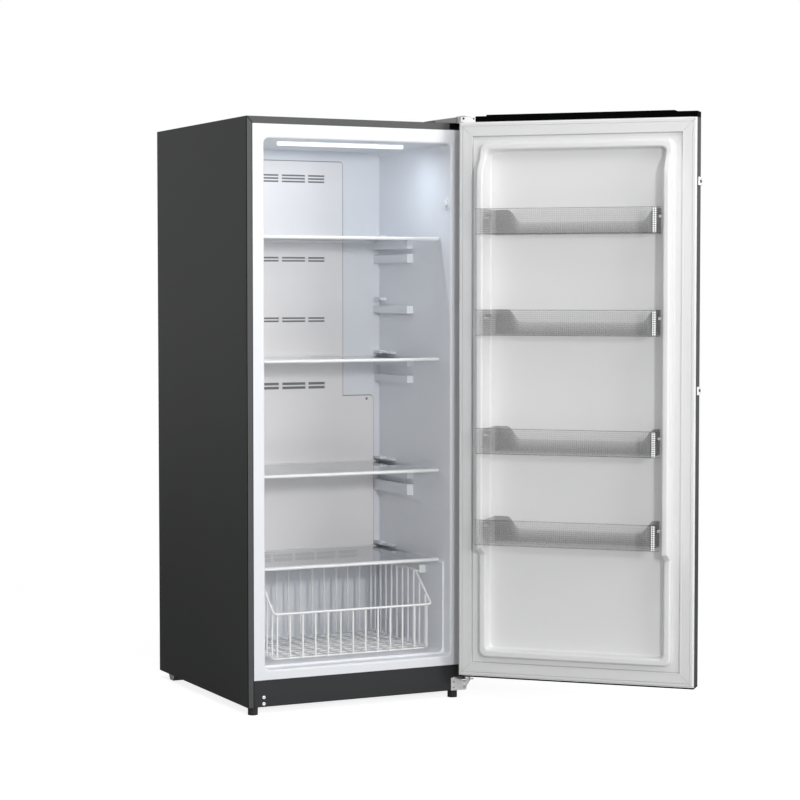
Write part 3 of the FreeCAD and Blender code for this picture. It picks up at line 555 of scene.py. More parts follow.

# %% [markdown]
# ## Painted shadow in the front lip's joints
# The sides and the top of the shell are separate sheets, folded over a frame. Where their edges meet, a thin
# dark line paints the shadow in the joint, and it runs at 45 degrees across each top corner. A thin black
# block on the lip beside the hinge paints the shade under the top hinge.

# %% Painted shadow lines in the joints
shell_low, shell_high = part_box("cabinet_shell")
lip_y, lip_wide = shell_low.y, 0.019
line_wide, line_proud, line_deep = 0.0016, 0.0003, 0.0005
line_foot = 0.001
# Thin black strips paint the shadow in the lip's joints: the joints are real, their darkness is painted.
lines = []
for side in (-1, 1):
    for inset in (line_wide / 2, lip_wide - line_wide / 2):
        x, top = side * (shell_high.x - inset), shell_high.z - inset
        lines.append(block("line", (x - line_wide / 2, lip_y - line_proud, shell_low.z + line_foot),
                           (x + line_wide / 2, lip_y + line_deep, top)))
    mitre_half, mitre_high = (lip_wide - line_wide) / math.sqrt(2), line_wide * 0.7
    mitre = block("line", (-mitre_half, -line_proud, -mitre_high), (mitre_half, line_deep, mitre_high))
    mitre.rotation_euler.y = math.radians(-45 * side)
    mitre.location = (side * (shell_high.x - lip_wide / 2), lip_y, shell_high.z - lip_wide / 2)
    lines.append(settle(mitre))
lip_joint_shadows = round_edges(joined("lip_joint_lines", lines), 0.0001, segments=1)
wear(lip_joint_shadows, black_cap)
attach(lip_joint_shadows, "cabinet")
print("lip lines:", len(lip_joint_shadows.data.polygons))

# %% Painted shade beside the hinge
hinge_shade_wide, hinge_shade_proud, hinge_shade_deep = 0.0595, 0.0008, 0.001
hinge_shade_foot, hinge_shade_top = shell_high.z - 0.018, shell_high.z - 0.0005
# A thin black block on the lip paints the shade under the top hinge.
hinge_shade = block("lip_pad", (shell_high.x - hinge_shade_wide, lip_y - hinge_shade_proud, hinge_shade_foot),
            (shell_high.x, lip_y + hinge_shade_deep, hinge_shade_top))
wear(round_edges(hinge_shade, 0.0006), black_cap)
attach(hinge_shade, "cabinet")
print("pad:", len(hinge_shade.data.polygons))

# %% [markdown]
# ## Working on the door
# The door's pieces are easier to shape lying flat on a bench: x runs across the door away from its hinge, y
# runs up the door, and z stands proud of the back of the door. A finished piece is then stood up and swung
# open about the hinge pin, by the angle that the door joint states.

# %% Hang a piece on the open door
hinge = next(joint for joint in frame["joints"] if joint["name"] == "door_hinge")
pin = Vector(hinge["pos_m"])
open_angle = math.radians(max(hinge["range_deg"]))
half = round(shell_high.x, 4)           # of the door's width, which is the cabinet's
door_back = -0.378                      # y of the door's back when it is closed
door_low, door_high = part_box("door_skin")[0].z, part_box("door_skin")[1].z
stand = Matrix(((-1, 0, 0, 0), (0, 0, 1, door_back), (0, 1, 0, 0), (0, 0, 0, 1)))
swing = Matrix.Translation(pin) @ Matrix.Rotation(open_angle, 4, "Z") @ Matrix.Translation(-pin)
on_door = swing @ stand
print("open by", round(math.degrees(open_angle), 2), "degrees")


def hang(piece, body="door"):
    """Stand a piece up and open it with the door."""
    piece.matrix_world = on_door @ piece.matrix_world
    settle(piece)
    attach(piece, body)
    return piece


def across(distance):
    """Bench x of a distance from the door's hinge edge."""
    return distance - half


# %% Choose and draw on the bench
def pick(piece, kind, chosen):
    """In edit mode, select only the vertices, edges or faces that chosen() keeps."""
    bpy.ops.mesh.select_all(action="DESELECT")
    bpy.ops.mesh.select_mode(type={"verts": "VERT", "edges": "EDGE", "faces": "FACE"}[kind])
    mesh = bmesh.from_edit_mesh(piece.data)
    for item in getattr(mesh, kind):
        item.select_set(bool(chosen(item)))
    mesh.select_flush_mode()
    bmesh.update_edit_mesh(piece.data)


def plate(name, low, high):
    """A flat rectangle on the bench between two corners, left in edit mode and selected."""
    middle, size = (low + high) / 2, high - low
    bpy.ops.object.select_all(action="DESELECT")
    bpy.ops.mesh.primitive_plane_add(size=1, location=(*middle, 0))
    piece = bpy.context.object
    piece.name = name
    piece.scale = (*size, 1)
    edit(settle(piece))
    select_mesh()
    return piece


def sharp(edge, angle=25):
    """True where two faces meet at more than angle degrees."""
    return len(edge.link_faces) == 2 and edge.calc_face_angle(0) > math.radians(angle)


def thicken(piece, wall):
    """Give a sheet its thickness behind its face."""
    solid = piece.modifiers.new("Wall", "SOLIDIFY")
    solid.thickness = wall
    solid.offset = -1
    return apply_all(piece)


# %% [markdown]
# ## Door liner
# The liner is one vacuum formed sheet. Three rounded outlines are drawn on the bench: the foot, the outside
# of the frame and the recess. They are bridged into one sheet, the frame is lifted and the recess pushed
# back. Straight cuts across the frame then let the side rails rise to hold the bins, and a bevel gives the
# soft edges of a formed sheet. Carving all this from one box would leave hard corners.

# %% Sizes of the liner
rim_top, rail_rise, recess = 0.0195, 0.0375, -0.015     # heights above the door's back
recess_taper = (0.986, 0.997, 1)
soft_edge, sheet, margin_sheet = 0.0055, 0.0022, 0.0018
frame_width, foot_width = 0.020, 0.008
liner_low = Vector((across(0.068), door_low + 0.0617))
liner_high = Vector((across(0.643), door_high - 0.0636))
liner_middle = (liner_low + liner_high) / 2
both = Vector((1, 1))                   # one metre along x and along y
print("liner in metres:", [round(v, 3) for v in (liner_high - liner_low)])


# %% Outlines that lie inside one another
def add_loop(reach, radius):
    """In edit mode, add a rounded rectangle of bare edges, reach inside the liner's outline."""
    low, high = liner_low + reach * both, liner_high - reach * both
    middle = (low + high) / 2
    bpy.ops.mesh.select_all(action="DESELECT")
    bpy.ops.mesh.select_mode(type="VERT")
    bpy.ops.mesh.primitive_plane_add(size=1, location=(*middle, 0))
    bpy.ops.transform.resize(value=(*(high - low), 1), center_override=(*middle, 0))
    bpy.ops.mesh.bevel(offset=radius, segments=5, affect="VERTICES")
    bpy.ops.mesh.delete(type="ONLY_FACE")


def inside_outline(item, reach):
    """True where every corner of a face or edge lies at least reach inside the liner's outline."""
    low, high = liner_low + reach * both, liner_high - reach * both
    return all(low.x < v.co.x < high.x and low.y < v.co.y < high.y for v in item.verts)


def on_liner(item):
    """True on the frame and the recess."""
    return inside_outline(item, -0.0001)


def in_recess(item):
    """True inside the frame."""
    return inside_outline(item, 0.8 * frame_width)


# %% Three outlines, bridged
foot_corner, frame_corner, recess_corner = 0.028, 0.020, 0.014
door_liner = plate("door_liner_sheet", liner_low, liner_high)
bpy.ops.mesh.delete(type="VERT")
add_loop(-foot_width, foot_corner)
add_loop(0, frame_corner)
select_mesh()
bpy.ops.mesh.bridge_edge_loops()
add_loop(frame_width, recess_corner)
pick(door_liner, "edges", on_liner)
bpy.ops.mesh.bridge_edge_loops()
pick(door_liner, "edges", in_recess)
bpy.ops.mesh.edge_face_add()
select_mesh()
bpy.ops.mesh.normals_make_consistent(inside=False)
if max(bmesh.from_edit_mesh(door_liner.data).faces, key=lambda face: face.calc_area()).normal.z < 0:
    bpy.ops.mesh.flip_normals()
print("outlines bridged:", len(bmesh.from_edit_mesh(door_liner.data).faces), "faces")

# %% Frame up, recess back
bead_low, bead_high = 0.447, 0.465
shoulder = {0.110: 1.0, 0.098: 0.97, 0.086: 0.88, 0.074: 0.72, 0.062: 0.50, 0.052: 0.28, 0.044: 0.11}
for level in [bead_low, bead_high] + [liner_high.y - fall for fall in shoulder]:
    pick(door_liner, "faces", on_liner)
    bpy.ops.mesh.bisect(plane_co=(0, level, 0), plane_no=(0, 1, 0))
pick(door_liner, "faces", lambda face: on_liner(face) and not in_recess(face))
bpy.ops.mesh.extrude_region_move(TRANSFORM_OT_translate={"value": (0, 0, rim_top)})
pick(door_liner, "faces", lambda face: in_recess(face) and abs(face.normal.z) > 0.9)
bpy.ops.transform.translate(value=(0, 0, recess))
bpy.ops.transform.resize(value=recess_taper, center_override=(*liner_middle, recess))
print("from recess to frame:", round((rim_top - recess) * 1000, 1), "mm")

# %% Side rails and soft edges
rises = {bead_high: 1.0, **{liner_high.y - fall: share for fall, share in shoulder.items()}}
for level, share in rises.items():
    pick(door_liner, "verts", lambda v: v.co.z > rim_top - 0.001 and abs(v.co.y - level) < 0.0001)
    bpy.ops.transform.translate(value=(0, 0, rail_rise * share))
pick(door_liner, "edges", sharp)
bpy.ops.mesh.bevel(offset=soft_edge, segments=3, affect="EDGES")
close()
thicken(door_liner, sheet)
print("liner without its margin:", len(door_liner.data.polygons))

# %% [markdown]
# ## Foam and margin
# The foam fills the door behind the liner. Its lower edge comes down with the liner's edge. The flat margin
# round the liner is the same sheet, and the gasket sits on it. It is drawn as a second ring and joined to
# the liner, because one sheet with so many steps would be hard to keep even.

# %% Foam behind the recess
edge_low, edge_high, edge_drop = door_low + 0.060, door_low + 0.115, 0.0155
door_foam = merged_copy("door_foam", "door_foam_finished")
edit(door_foam)
pick(door_foam, "verts", lambda v: edge_low < v.co.z < edge_high)
bpy.ops.transform.translate(value=(0, 0, -edge_drop))
close()
wear(door_foam, foam)
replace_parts(door_foam, "door_foam")
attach(door_foam, "door")
print("foam faces:", len(door_foam.data.polygons))

# %% Margin under the gasket
sheet_gap, first_inset, tuck = 0.012, 0.05, 0.0003
sheet_low, sheet_high = Vector((sheet_gap - half, door_low)), Vector((half - sheet_gap, door_high))
margin = plate("door_liner_margin", sheet_low, sheet_high)
bpy.ops.mesh.inset(thickness=first_inset)
middle = (sheet_low + sheet_high) / 2
first = sheet_high - sheet_low - 2 * first_inset * both
wanted = liner_high - liner_low - frame_width * both
bpy.ops.transform.resize(value=(wanted.x / first.x, wanted.y / first.y, 1), center_override=(*middle, 0))
bpy.ops.transform.translate(value=(*(liner_middle - middle), 0))
bpy.ops.mesh.delete(type="FACE")
select_mesh()
bpy.ops.transform.translate(value=(0, 0, -tuck))
close()
thicken(margin, margin_sheet)
door_liner = joined("door_liner_sheet", [door_liner, margin])
shade(door_liner, 40)
print("door liner faces:", len(door_liner.data.polygons))

# %% [markdown]
# ## Lugs
# Each bin hangs on two small lugs that stand out from the rails. One lug of each side is modelled and
# copied to the height of each bin, and they all become part of the liner, as on a formed sheet.

# %% Lugs
bin_lows = [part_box(f"door_bin_{n}")[0].z for n in range(1, 5)]
lug_sides = (0.0855, 0.104), (0.607, 0.6225)
lug_low, lug_high = 0.046, 0.054        # above the foot of its bin
lug_back, lug_front = 0.018, 0.036
lugs = [door_liner]
for start, end in lug_sides:
    lug = block("lug", (across(start), lug_low, lug_back), (across(end), lug_high, lug_front))
    round_edges(lug, 0.0012)
    lugs += [copied(lug, "lug", (0, low, 0)) for low in bin_lows]
    bpy.data.objects.remove(lug)
door_liner = joined("door_liner_sheet", lugs)
wear(door_liner, door_white)
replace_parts(hang(door_liner), "door_liner")
print("with its lugs:", len(door_liner.data.polygons))

# %% [markdown]
# ## Smoky plastic
# The bins are moulded from clear plastic with a fine diamond emboss. Seen from a distance, the emboss and
# the plastic's thickness only let less light through. So the material stays a plain plastic, and its alpha
# follows a checker pattern turned by 45 degrees, plus what the mesh itself says in an attribute named
# "smoke". Real refraction in so many thin walls would cost much time and look grainy.

# %% A fine diamond emboss
diamonds_fine = 230
diamonds, fineness, emboss = new_group("Diamond emboss", [("Scale", diamonds_fine)], ["Pattern"])
place = diamonds.nodes.new("ShaderNodeTexCoord")
turned = diamonds.nodes.new("ShaderNodeMapping")
turned.inputs["Rotation"].default_value = (0, 0, -open_angle)
tilted = diamonds.nodes.new("ShaderNodeMapping")
tilted.inputs["Rotation"].default_value = (0, math.radians(45), 0)
tilted.inputs["Scale"].default_value = (1, 0, 1)
squares = diamonds.nodes.new("ShaderNodeTexChecker")
link = diamonds.links.new
link(place.outputs["Object"], turned.inputs["Vector"])
link(turned.outputs["Vector"], tilted.inputs["Vector"])
link(tilted.outputs["Vector"], squares.inputs["Vector"])
link(fineness.outputs["Scale"], squares.inputs["Scale"])
link(squares.outputs["Fac"], emboss.inputs["Pattern"])
print("nodes of the emboss:", len(diamonds.nodes))


# %% Smoky plastic
def smoky(name, grey, thin, thick):
    """Clear plastic that lets less light through where the emboss or "smoke" is dense."""
    material = finish(name, mould_grain, (grey, grey, grey), 0.3, spread=0.1, tint=0.05)
    tree = material.node_tree
    pattern = tree.nodes.new("ShaderNodeGroup")
    pattern.node_tree = diamonds
    cover = spread_node(tree, pattern.outputs["Pattern"], thin, thick)
    smoke = tree.nodes.new("ShaderNodeAttribute")
    smoke.attribute_name = "smoke"
    total = math_node(tree, "ADD", cover, smoke.outputs["Fac"])
    tree.links.new(total, tree.nodes["Principled BSDF"].inputs["Alpha"])
    return material


front_clear = smoky("Smoky front", 0.22, 0.09, 0.14)
tray_clear = smoky("Smoky tray", 0.22, 0.00, 0.05)
tab_clear = smoky("Smoky tab", 0.22, 0.06, 0.10)
rim_clear = smoky("Smoky rim", 0.12, 0.25, 0.40)
end_clear = smoky("Frosted end", 0.97, 0.30, 1.0)
print("finishes with the smoky ones:", finish_count())

# %% [markdown]
# ## Bins
# A bin is a wide front plate that reaches over the rails, and a tray behind it whose back wall sweeps up at
# both ends. All four are alike, so one is modelled low on the bench and copied. The tray is a box with two
# open sides. Cuts near its ends let the back edge fall in a soft curve.

# %% Sizes of a bin
bin_high, back_high, bin_wall = 0.075, 0.038, 0.0024
tray_back, tray_front, plate_front, trim_front = -0.0143, 0.1085, 0.1102, 0.111
tray_left, tray_right = across(0.107), across(0.604)
plate_left, plate_right = across(0.0815), across(0.630)
left_lag = 0.022                        # the left sweep starts further from its end
sweep = [(0.014, 1.0), (0.022, 0.95), (0.032, 0.70), (0.042, 0.30), (0.052, 0.05), (0.062, 0.0)]
drop = bin_high - back_high
print("back wall drops by", round(drop * 1000), "mm")

# %% How dense the tray looks
floor_smoke, wall_smoke = 0.12, 0.21


def smoke_at(place):
    """Smoke at a point of the tray: the back wall fades out where its edge is low."""
    gap = min(place.x - tray_left - left_lag, tray_right - place.x)
    share = 1.0
    for (near, full), (far, least) in zip(sweep, sweep[1:]):
        if gap > near:
            share = full + (least - full) * min((gap - near) / (far - near), 1)
    if place.z > tray_back + 0.006:
        return floor_smoke
    return wall_smoke * (1 - (1 - share) * min(place.y / (bin_high - drop * (1 - share)), 1))


def paint_smoke(tray):
    """Write the smoke at each point of the mesh."""
    smoke = tray.data.attributes.new("smoke", "FLOAT", "POINT")
    for corner, value in zip(tray.data.vertices, smoke.data):
        value.value = smoke_at(corner.co)


# %% Tray
def back_edge(x):
    """Chooses the top corner of the back wall at x."""
    return lambda v: abs(v.co.x - x) < 1e-4 and v.co.z < tray_back + 1e-4 and v.co.y > 0.001


tray = block("tray", (tray_left, 0, tray_back), (tray_right, bin_high, tray_front))
edit(tray)
pick(tray, "faces", lambda face: face.normal.y > 0.9 or face.normal.z > 0.9)
bpy.ops.mesh.delete(type="FACE")
for x in [tray_left + left_lag + reach for reach, _ in sweep] + [tray_right - reach for reach, _ in sweep]:
    select_mesh()
    bpy.ops.mesh.bisect(plane_co=(x, 0, 0), plane_no=(1, 0, 0))
for reach, share in sweep:
    for x in (tray_left + left_lag + reach, tray_right - reach):
        pick(tray, "verts", back_edge(x))
        bpy.ops.transform.translate(value=(0, -drop * (1 - share), 0))
select_mesh()
bpy.ops.mesh.normals_make_consistent(inside=False)
close()
thicken(tray, bin_wall)
wear(round_edges(tray, 0.0006, segments=1), tray_clear)
paint_smoke(tray)
print("tray faces:", len(tray.data.polygons))

# %% Front plate and frosted end
plate_back, trim_back = tray_front + 0.0001, tray_front + 0.0002
front = block("front", (plate_left, 0, plate_back), (plate_right, bin_high, plate_front))
edit(front)
pick(front, "edges", lambda edge: abs((edge.verts[0].co - edge.verts[1].co).z) > 0.001)
bpy.ops.mesh.bevel(offset=0.004, segments=3, affect="EDGES")
close()
wear(round_edges(front, 0.0006), front_clear)
end_left, end_right, end_gap = across(0.6055), across(0.6165), 0.002
end = block("end", (end_left, end_gap, plate_front + 0.0002), (end_right, bin_high - end_gap, trim_front))
wear(round_edges(end, 0.0004, segments=1), end_clear)
print("front and end:", len(front.data.polygons), len(end.data.polygons))

# %% Rims, side tab and hooks
rims = [block("rim", (plate_left, y, trim_back), (plate_right, y + 0.0016, trim_front))
        for y in (-0.0001, bin_high - 0.0015)]
for rim in rims:
    wear(round_edges(rim, 0.0004, segments=1), rim_clear)
tab_left, tab_right, tab_gap = across(0.0945), across(0.1055), 0.001
side_tab = block("tab", (tab_left, tab_gap, 0.100), (tab_right, bin_high - tab_gap, 0.108))
wear(round_edges(side_tab, 0.0006), tab_clear)
hook_reach, hook_low, hook_high = 0.015, 0.0545, 0.060
hook_back, hook_front = 0.016, 0.038
hooks = [block("hook", (x, hook_low, hook_back), (x + hook_reach, hook_high, hook_front))
         for x in (tray_left - hook_reach, tray_right)]
for hook in hooks:
    wear(round_edges(hook, 0.0008), tray_clear)
print("rims, hooks:", len(rims), len(hooks))

# %% Four bins
first_bin = joined("door_bin_clear", [tray, front, end, *rims, side_tab, *hooks])
for n, low in enumerate(bin_lows, 1):
    piece = hang(copied(first_bin, f"door_bin_{n}_clear", (0, low, 0)), body_of[f"door_bin_{n}"])
    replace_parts(piece, f"door_bin_{n}")
bpy.data.objects.remove(first_bin)
print("bin faces:", len(piece.data.polygons))

# %% [markdown]
# ## Gasket
# The seal is an extruded strip, cut at 45 degrees and welded at the corners. Insets of one rectangle give
# its steps, and they leave the mitre lines where the real welds are.

# %% Steps of the gasket
steps = [(0.0075, 0.0078), (0.0009, 0.0062), (0.0238, 0.0086), (0.0045, 0.0092)]    # width, height
inset = 0.005 * both
gasket_low, gasket_high = Vector((-half, door_low)) + inset, Vector((across(0.711), door_high)) - inset
gasket = plate("door_gasket_strip", gasket_low, gasket_high)
for wide, _ in steps:
    bpy.ops.mesh.inset(thickness=wide)
bpy.ops.mesh.delete(type="FACE")
print("gasket is", round(sum(wide for wide, _ in steps) * 1000, 1), "mm wide")


# %% Gasket
def in_step(start, wide):
    """Chooses the flat faces of the step that begins start inside the gasket's outline."""
    def chosen(face):
        at = face.calc_center_median()
        gap = min(at.x - gasket_low.x, gasket_high.x - at.x, at.y - gasket_low.y, gasket_high.y - at.y)
        return start < gap < start + wide and at.z < 0.0001 and abs(face.normal.z) > 0.9
    return chosen


gasket_wide = 0.0
for wide, high in steps:
    pick(gasket, "faces", in_step(gasket_wide, wide))
    bpy.ops.mesh.extrude_region_move(TRANSFORM_OT_translate={"value": (0, 0, high)})
    gasket_wide += wide
select_mesh()
bpy.ops.mesh.remove_doubles(threshold=merge_reach)
close()
round_edges(gasket, 0.0010)
wear(gasket, seal)
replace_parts(hang(gasket), "door_gasket")
print("gasket faces:", len(gasket.data.polygons))

# %% Welds
weld_long, weld_wide, weld_back, weld_front = 0.051, 0.0008, 0.0075, 0.0091
weld_in = 0.0183                        # from the gasket's corner to the middle of the weld
welds = []
for x, y in ((-1, -1), (-1, 1), (1, -1), (1, 1)):
    weld = block("weld", (-weld_long / 2, -weld_wide / 2, weld_back),
                 (weld_long / 2, weld_wide / 2, weld_front))
    weld.rotation_euler.z = math.radians(45 * x * y)
    corner = Vector((gasket_high.x if x > 0 else gasket_low.x, gasket_high.y if y > 0 else gasket_low.y))
    weld.location = (corner.x - x * weld_in, corner.y - y * weld_in, 0)
    welds.append(round_edges(settle(weld), 0.0002, segments=1))
welds = joined("gasket_welds", welds)
print("welds:", len(welds.data.polygons))


# %% Painted shadow in the gasket's gap, and edge trim
def ring(name, low, high, wide, top, thick):
    """A flat rectangular ring on the bench."""
    piece = plate(name, low, high)
    bpy.ops.mesh.inset(thickness=wide)
    bpy.ops.mesh.delete(type="FACE")
    select_mesh()
    bpy.ops.transform.translate(value=(0, 0, top))
    close()
    thicken(piece, thick)
    return round_edges(piece, 0.0002, segments=1)


inside = gasket_wide * both
# A grey ring just inside the gasket paints the shadow in the gap between the gasket and the liner.
gap_shadow_line = ring("gasket_joint", gasket_low + inside, gasket_high - inside, 0.0020, 0.0008, 0.0007)
narrow = 0.0008 * both
edge_trim = ring("door_edge_trim", Vector((-half, door_low)) + narrow, Vector((half, door_high)) - narrow,
                 0.0130, 0.0013, 0.0012)
for piece, material in ((welds, weld_grey), (gap_shadow_line, gap_shadow_grey), (edge_trim, white_trim)):
    wear(hang(piece), material)
    print(piece.name, len(piece.data.polygons))

# %% [markdown]
# ## Screws
# One pan head with a cross recess is modelled once, and each screw is a copy turned to its surface. The
# threads lie inside the sheets and never show, so only the head is made.

# %% A pan head of radius one
bpy.ops.object.select_all(action="DESELECT")
bpy.ops.mesh.primitive_cylinder_add(vertices=24, radius=1, depth=0.5, location=(0, 0, 0.25))
pan_head = settle(bpy.context.object)
pan_head.name = "screw_pan_head"
round_edges(pan_head, 0.22, segments=3)
bar_half, bar_wide, bar_foot, bar_top = 0.55, 0.11, 0.22, 0.7
for turn in (0, math.pi / 2):
    bar = block("recess", (-bar_half, -bar_wide, bar_foot), (bar_half, bar_wide, bar_top))
    bar.rotation_euler.z = turn
    recess_cut = pan_head.modifiers.new("Cross recess", "BOOLEAN")
    recess_cut.object = settle(bar)
    apply_all(pan_head)
    bpy.data.objects.remove(bar)
print("screw faces:", len(pan_head.data.polygons))


# %% Screws in their places
def screw(name, place, outward, radius, material, body="cabinet"):
    """A copy of the screw head at a point, facing outward."""
    only(pan_head)
    bpy.ops.object.duplicate()
    copy = bpy.context.object
    copy.name = name
    copy.scale = (radius, radius, radius)
    copy.rotation_mode = "QUATERNION"
    copy.rotation_quaternion = Vector(outward).to_track_quat("Z", "Y")
    copy.location = place
    settle(copy)
    wear(copy, material)
    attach(copy, body)


def screw_count():
    """How many screws there are so far."""
    return sum("_screw_" in piece.name for piece in bpy.data.objects)


forward, backward = (0, -1, 0), (0, 1, 0)
plinth_y, hinge_y, sheet_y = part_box("kick_panel")[0].y, -0.3705, shell_high.y
for n, rise in enumerate((0.0095, 0.0282)):
    screw(f"plinth_screw_{n}", (-half + 0.0495, plinth_y, ground + rise), forward, 0.0053, zinc)
hinge_screws = [(x, rise) for x in (0.6656, 0.7013) for rise in (0.0105, 0.0266)]
for n, (x, rise) in enumerate(hinge_screws):
    screw(f"hinge_screw_{n}", (x - half, hinge_y, ground + rise), forward, 0.0032, galvanised)
for n, x in enumerate((cover_low.x + 0.024, cover_high.x - 0.024)):
    screw(f"cover_screw_{n}", (x, cover_low.y, ground + 0.860), forward, 0.0038, grey_plastic)
back_inset, back_foot, back_pitch = 0.012, 0.32, 0.33
for n in range(10):
    place = (n % 2 * 2 - 1) * (half - back_inset), sheet_y, back_foot + n // 2 * back_pitch
    screw(f"back_screw_{n}", place, backward, 0.0045, zinc)
grille_left, grille_pitch, grille_z = -0.34, 0.136, 0.278
for n in range(6):
    place = grille_left + n * grille_pitch, sheet_y, grille_z
    screw(f"grille_screw_{n}", place, backward, 0.0045, zinc)
print("screws on the cabinet:", screw_count())

# %% Screws on the door
upward, sideways = (0, 0, 1), (1, 0, 0)
for name, place, outward, radius in (
        ("block_screw_0", (across(0.0125), door_high + 0.0115, -0.0008), upward, 0.0032),
        ("block_screw_1", (across(0.0440), door_high + 0.0100, -0.0008), upward, 0.0022),
        ("tab_screw_0", (0.3595, 0.9372, -0.030), sideways, 0.0045),
        ("tab_screw_1", (0.3595, 1.5380, -0.030), sideways, 0.0045)):
    screw(name, on_door @ Vector(place), on_door.to_3x3() @ Vector(outward), radius, black_steel, "door")
bpy.data.objects.remove(pan_head)
print("with the door's:", screw_count())

# %% [markdown]
# ## Wire basket
# A basket like this is bent from coated wire and spot welded. Each wire here is drawn as a line of points,
# its corners are rounded with a vertex bevel, and the line is given its thickness as a curve. Straight
# cylinders would leave gaps at the bends.

# %% Bend a wire
def bent_wire(name, corners, radius, bend, closed=False):
    """A round wire through the corners, with each corner turned on a small radius."""
    bpy.ops.object.select_all(action="DESELECT")
    bpy.ops.mesh.primitive_plane_add(size=0.01, location=(0, 0, 0))
    piece = bpy.context.object
    piece.name = name
    edit(piece)
    bpy.ops.mesh.select_mode(type="VERT")
    select_mesh()
    bpy.ops.mesh.merge(type="CENTER")
    bpy.ops.transform.translate(value=corners[0])
    stops = corners[1:] + corners[:1] if closed else corners[1:]
    here = corners[0]
    for stop in stops:
        bpy.ops.mesh.extrude_region_move(TRANSFORM_OT_translate={"value": stop - here})
        here = stop
    select_mesh()
    bpy.ops.mesh.remove_doubles(threshold=merge_reach)
    bpy.ops.mesh.bevel(offset=bend, segments=5, affect="VERTICES")
    close()
    only(piece)
    bpy.ops.object.convert(target="CURVE")
    piece = bpy.context.object
    piece.data.bevel_depth = radius
    piece.data.bevel_resolution = 2
    piece.data.use_fill_caps = True
    bpy.ops.object.convert(target="MESH")
    bpy.ops.object.shade_smooth_by_angle(angle=math.radians(60))
    return bpy.context.object


# %% Rim
rim_low, rim_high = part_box("basket_rim")
rim_radius, wire_radius, weld_depth = 0.0035, 0.0029, 0.0005
rim_bend, wire_bend = 0.010, 0.008
rim_x = rim_high.x - rim_radius
rim_front, rim_back = rim_low.y + rim_radius, rim_high.y - rim_radius
high_z, low_z, dip_y = rim_high.z - rim_radius, rim_low.z + rim_radius, rim_front + 0.108
rim_side = (rim_front, low_z), (dip_y, high_z), (rim_back, high_z)
rim_line = [Vector((rim_x, y, z)) for y, z in rim_side]
rim_line += [Vector((-p.x, p.y, p.z)) for p in reversed(rim_line)]
basket_rim = bent_wire("basket_rim_wire", rim_line, rim_radius, rim_bend, closed=True)
print("rim is", round((rim_high.x - rim_low.x) * 1000), "mm wide")

# %% Long wires
cross_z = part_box("basket_floor_cross")[0].z + wire_radius
long_z = cross_z + 2 * wire_radius
comb = wire_radius + rim_radius - weld_depth
side_x, front_y, back_y = rim_x - comb, rim_front + comb, rim_back - comb
long_low, long_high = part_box("basket_floor_long")
long_count = 13
long_pitch = (long_high.x - long_low.x - 2 * wire_radius) / (long_count - 1)
long_line = (front_y, low_z), (front_y, long_z), (back_y, long_z), (back_y, high_z)
long_wire = bent_wire("basket_long_wire", [Vector((0, y, z)) for y, z in long_line], wire_radius, wire_bend)
first_x = -(long_count - 1) / 2 * long_pitch
long_wires = [copied(long_wire, "basket_long_wire", (first_x + n * long_pitch, 0, 0))
              for n in range(long_count)]
bpy.data.objects.remove(long_wire)
long_wires = joined("basket_long_wires", long_wires)
print("long wires:", long_count, "every", round(long_pitch * 1000, 1), "mm")


# %% Cross wires
def rim_at(y):
    """Height of the side rim above the floor."""
    share = min((y - rim_front) / (dip_y - rim_front), 1)
    return low_z + share * (high_z - low_z)


def cross_wire(y):
    """A wire down one side, across under the long wires and up the other side."""
    line = (-side_x, rim_at(y)), (-side_x, cross_z), (side_x, cross_z), (side_x, rim_at(y))
    return bent_wire("basket_cross_wire", [Vector((x, y, z)) for x, z in line], wire_radius, wire_bend)


cross_count, cross_start, cross_pitch = 10, 0.029, 0.0387
cross_places = [rim_front + cross_start + n * cross_pitch for n in range(cross_count)]
cross_wires = [cross_wire(y) for y in cross_places if y < dip_y]
full_places = cross_places[len(cross_wires):]
full_wire = cross_wire(full_places[0])
cross_wires += [copied(full_wire, "basket_cross_wire", (0, y - full_places[0], 0)) for y in full_places]
bpy.data.objects.remove(full_wire)
cross_wires = joined("basket_cross_wires", cross_wires)
print("cross wires:", cross_count, "every", round(cross_pitch * 1000, 1), "mm")

# %% Finish of the basket
stands_for = ((basket_rim, ["basket_rim"]),
              (long_wires, ["basket_front", "basket_back", "basket_floor_long"]),
              (cross_wires, ["basket_left", "basket_right", "basket_floor_cross"]))
for piece, replaced in stands_for:
    wear(piece, wire_coat)
    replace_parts(piece, *replaced)
    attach(piece, body_of[replaced[0]])
    print(piece.name, len(piece.data.polygons))

# %% [markdown]
# ## Studio floor
# Near the freezer the floor is a dull surface that keeps the soft shadow, with a veil of light over it that
# only the camera sees, so that it looks nearly white. Further out it fades into plain white, the same as
# the world. A small floor would show its edge.

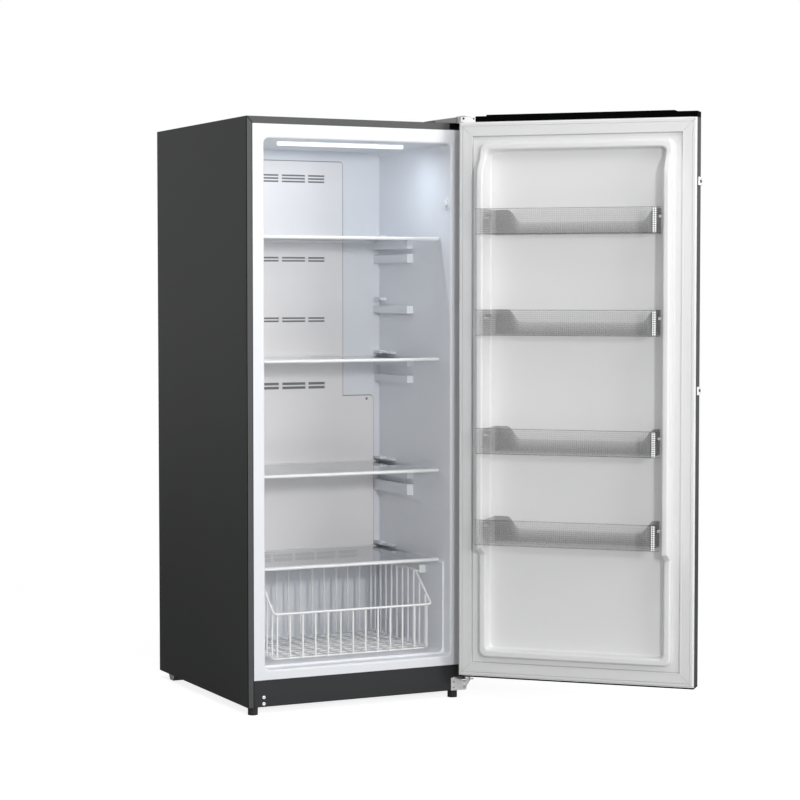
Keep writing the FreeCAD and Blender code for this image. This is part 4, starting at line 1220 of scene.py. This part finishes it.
# %% Floor material
shadow_reach, fade_reach = 1.2, 3.2     # metres from the middle
floor_grey, veil_strength = 0.55, 0.85
floor_white = bpy.data.materials.new("Studio floor")
floor_white.use_nodes = True
tree = floor_white.node_tree
link = tree.links.new
tree.nodes.clear()
place = tree.nodes.new("ShaderNodeTexCoord")
distance = tree.nodes.new("ShaderNodeVectorMath")
distance.operation = "LENGTH"
fade = tree.nodes.new("ShaderNodeMapRange")
fade.inputs["From Min"].default_value = shadow_reach
fade.inputs["From Max"].default_value = fade_reach
dull = tree.nodes.new("ShaderNodeBsdfDiffuse")
dull.inputs["Color"].default_value = (floor_grey, floor_grey, floor_grey, 1)
by_camera = tree.nodes.new("ShaderNodeLightPath").outputs["Is Camera Ray"]
veil_seen = math_node(tree, "MULTIPLY", by_camera)
veil_seen.node.inputs[1].default_value = veil_strength
veil = tree.nodes.new("ShaderNodeEmission")
near = tree.nodes.new("ShaderNodeAddShader")
far = tree.nodes.new("ShaderNodeEmission")
far.inputs["Strength"].default_value = 1.0
far_seen = math_node(tree, "MULTIPLY", fade.outputs["Result"], by_camera)
mix = tree.nodes.new("ShaderNodeMixShader")
out = tree.nodes.new("ShaderNodeOutputMaterial")
print("floor nodes:", len(tree.nodes))

# %% Floor material joined up
link(place.outputs["Object"], distance.inputs[0])
link(distance.outputs["Value"], fade.inputs["Value"])
link(veil_seen, veil.inputs["Strength"])
link(dull.outputs[0], near.inputs[0])
link(veil.outputs[0], near.inputs[1])
link(far_seen, mix.inputs[0])
link(near.outputs[0], mix.inputs[1])
link(far.outputs[0], mix.inputs[2])
link(mix.outputs[0], out.inputs["Surface"])
print("floor links:", len(tree.links))

# %% Floor
bpy.ops.object.select_all(action="DESELECT")
bpy.ops.mesh.primitive_circle_add(vertices=96, radius=9, fill_type="NGON")
floor = bpy.context.object
floor.name = "Studio floor"
wear(floor, floor_white)
floor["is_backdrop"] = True
print("floor is", round(floor.dimensions.x), "m across")

# %% [markdown]
# ## Lamp bar
# The light under the ceiling is a row of small cold lamps behind the lens. A thin area lamp just below the
# lens gives their light, because a glowing lens alone would light the cabinet slowly and with much grain.

# %% Lamp light inside the cabinet
lens_low, lens_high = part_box("led_lens")
lens_middle = (lens_low + lens_high) / 2
lamp("Lamp bar", 0.40, 0.012, 0.90, (lens_middle.x, lens_middle.y, lens_low.z - 0.004),
     aim=(0, 0.02, 0.0), colour=(0.80, 0.90, 1.0))
print("lamps:", len(bpy.data.lights))

# %% [markdown]
# ## Sizes
# The CAD model gives the object's size, and the pieces made here must stay inside it. Here the box
# round all that is shown is measured and printed.

# %% Measure what is shown
low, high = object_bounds()
print("visual box in metres:", [round(v, 3) for v in (high - low)])
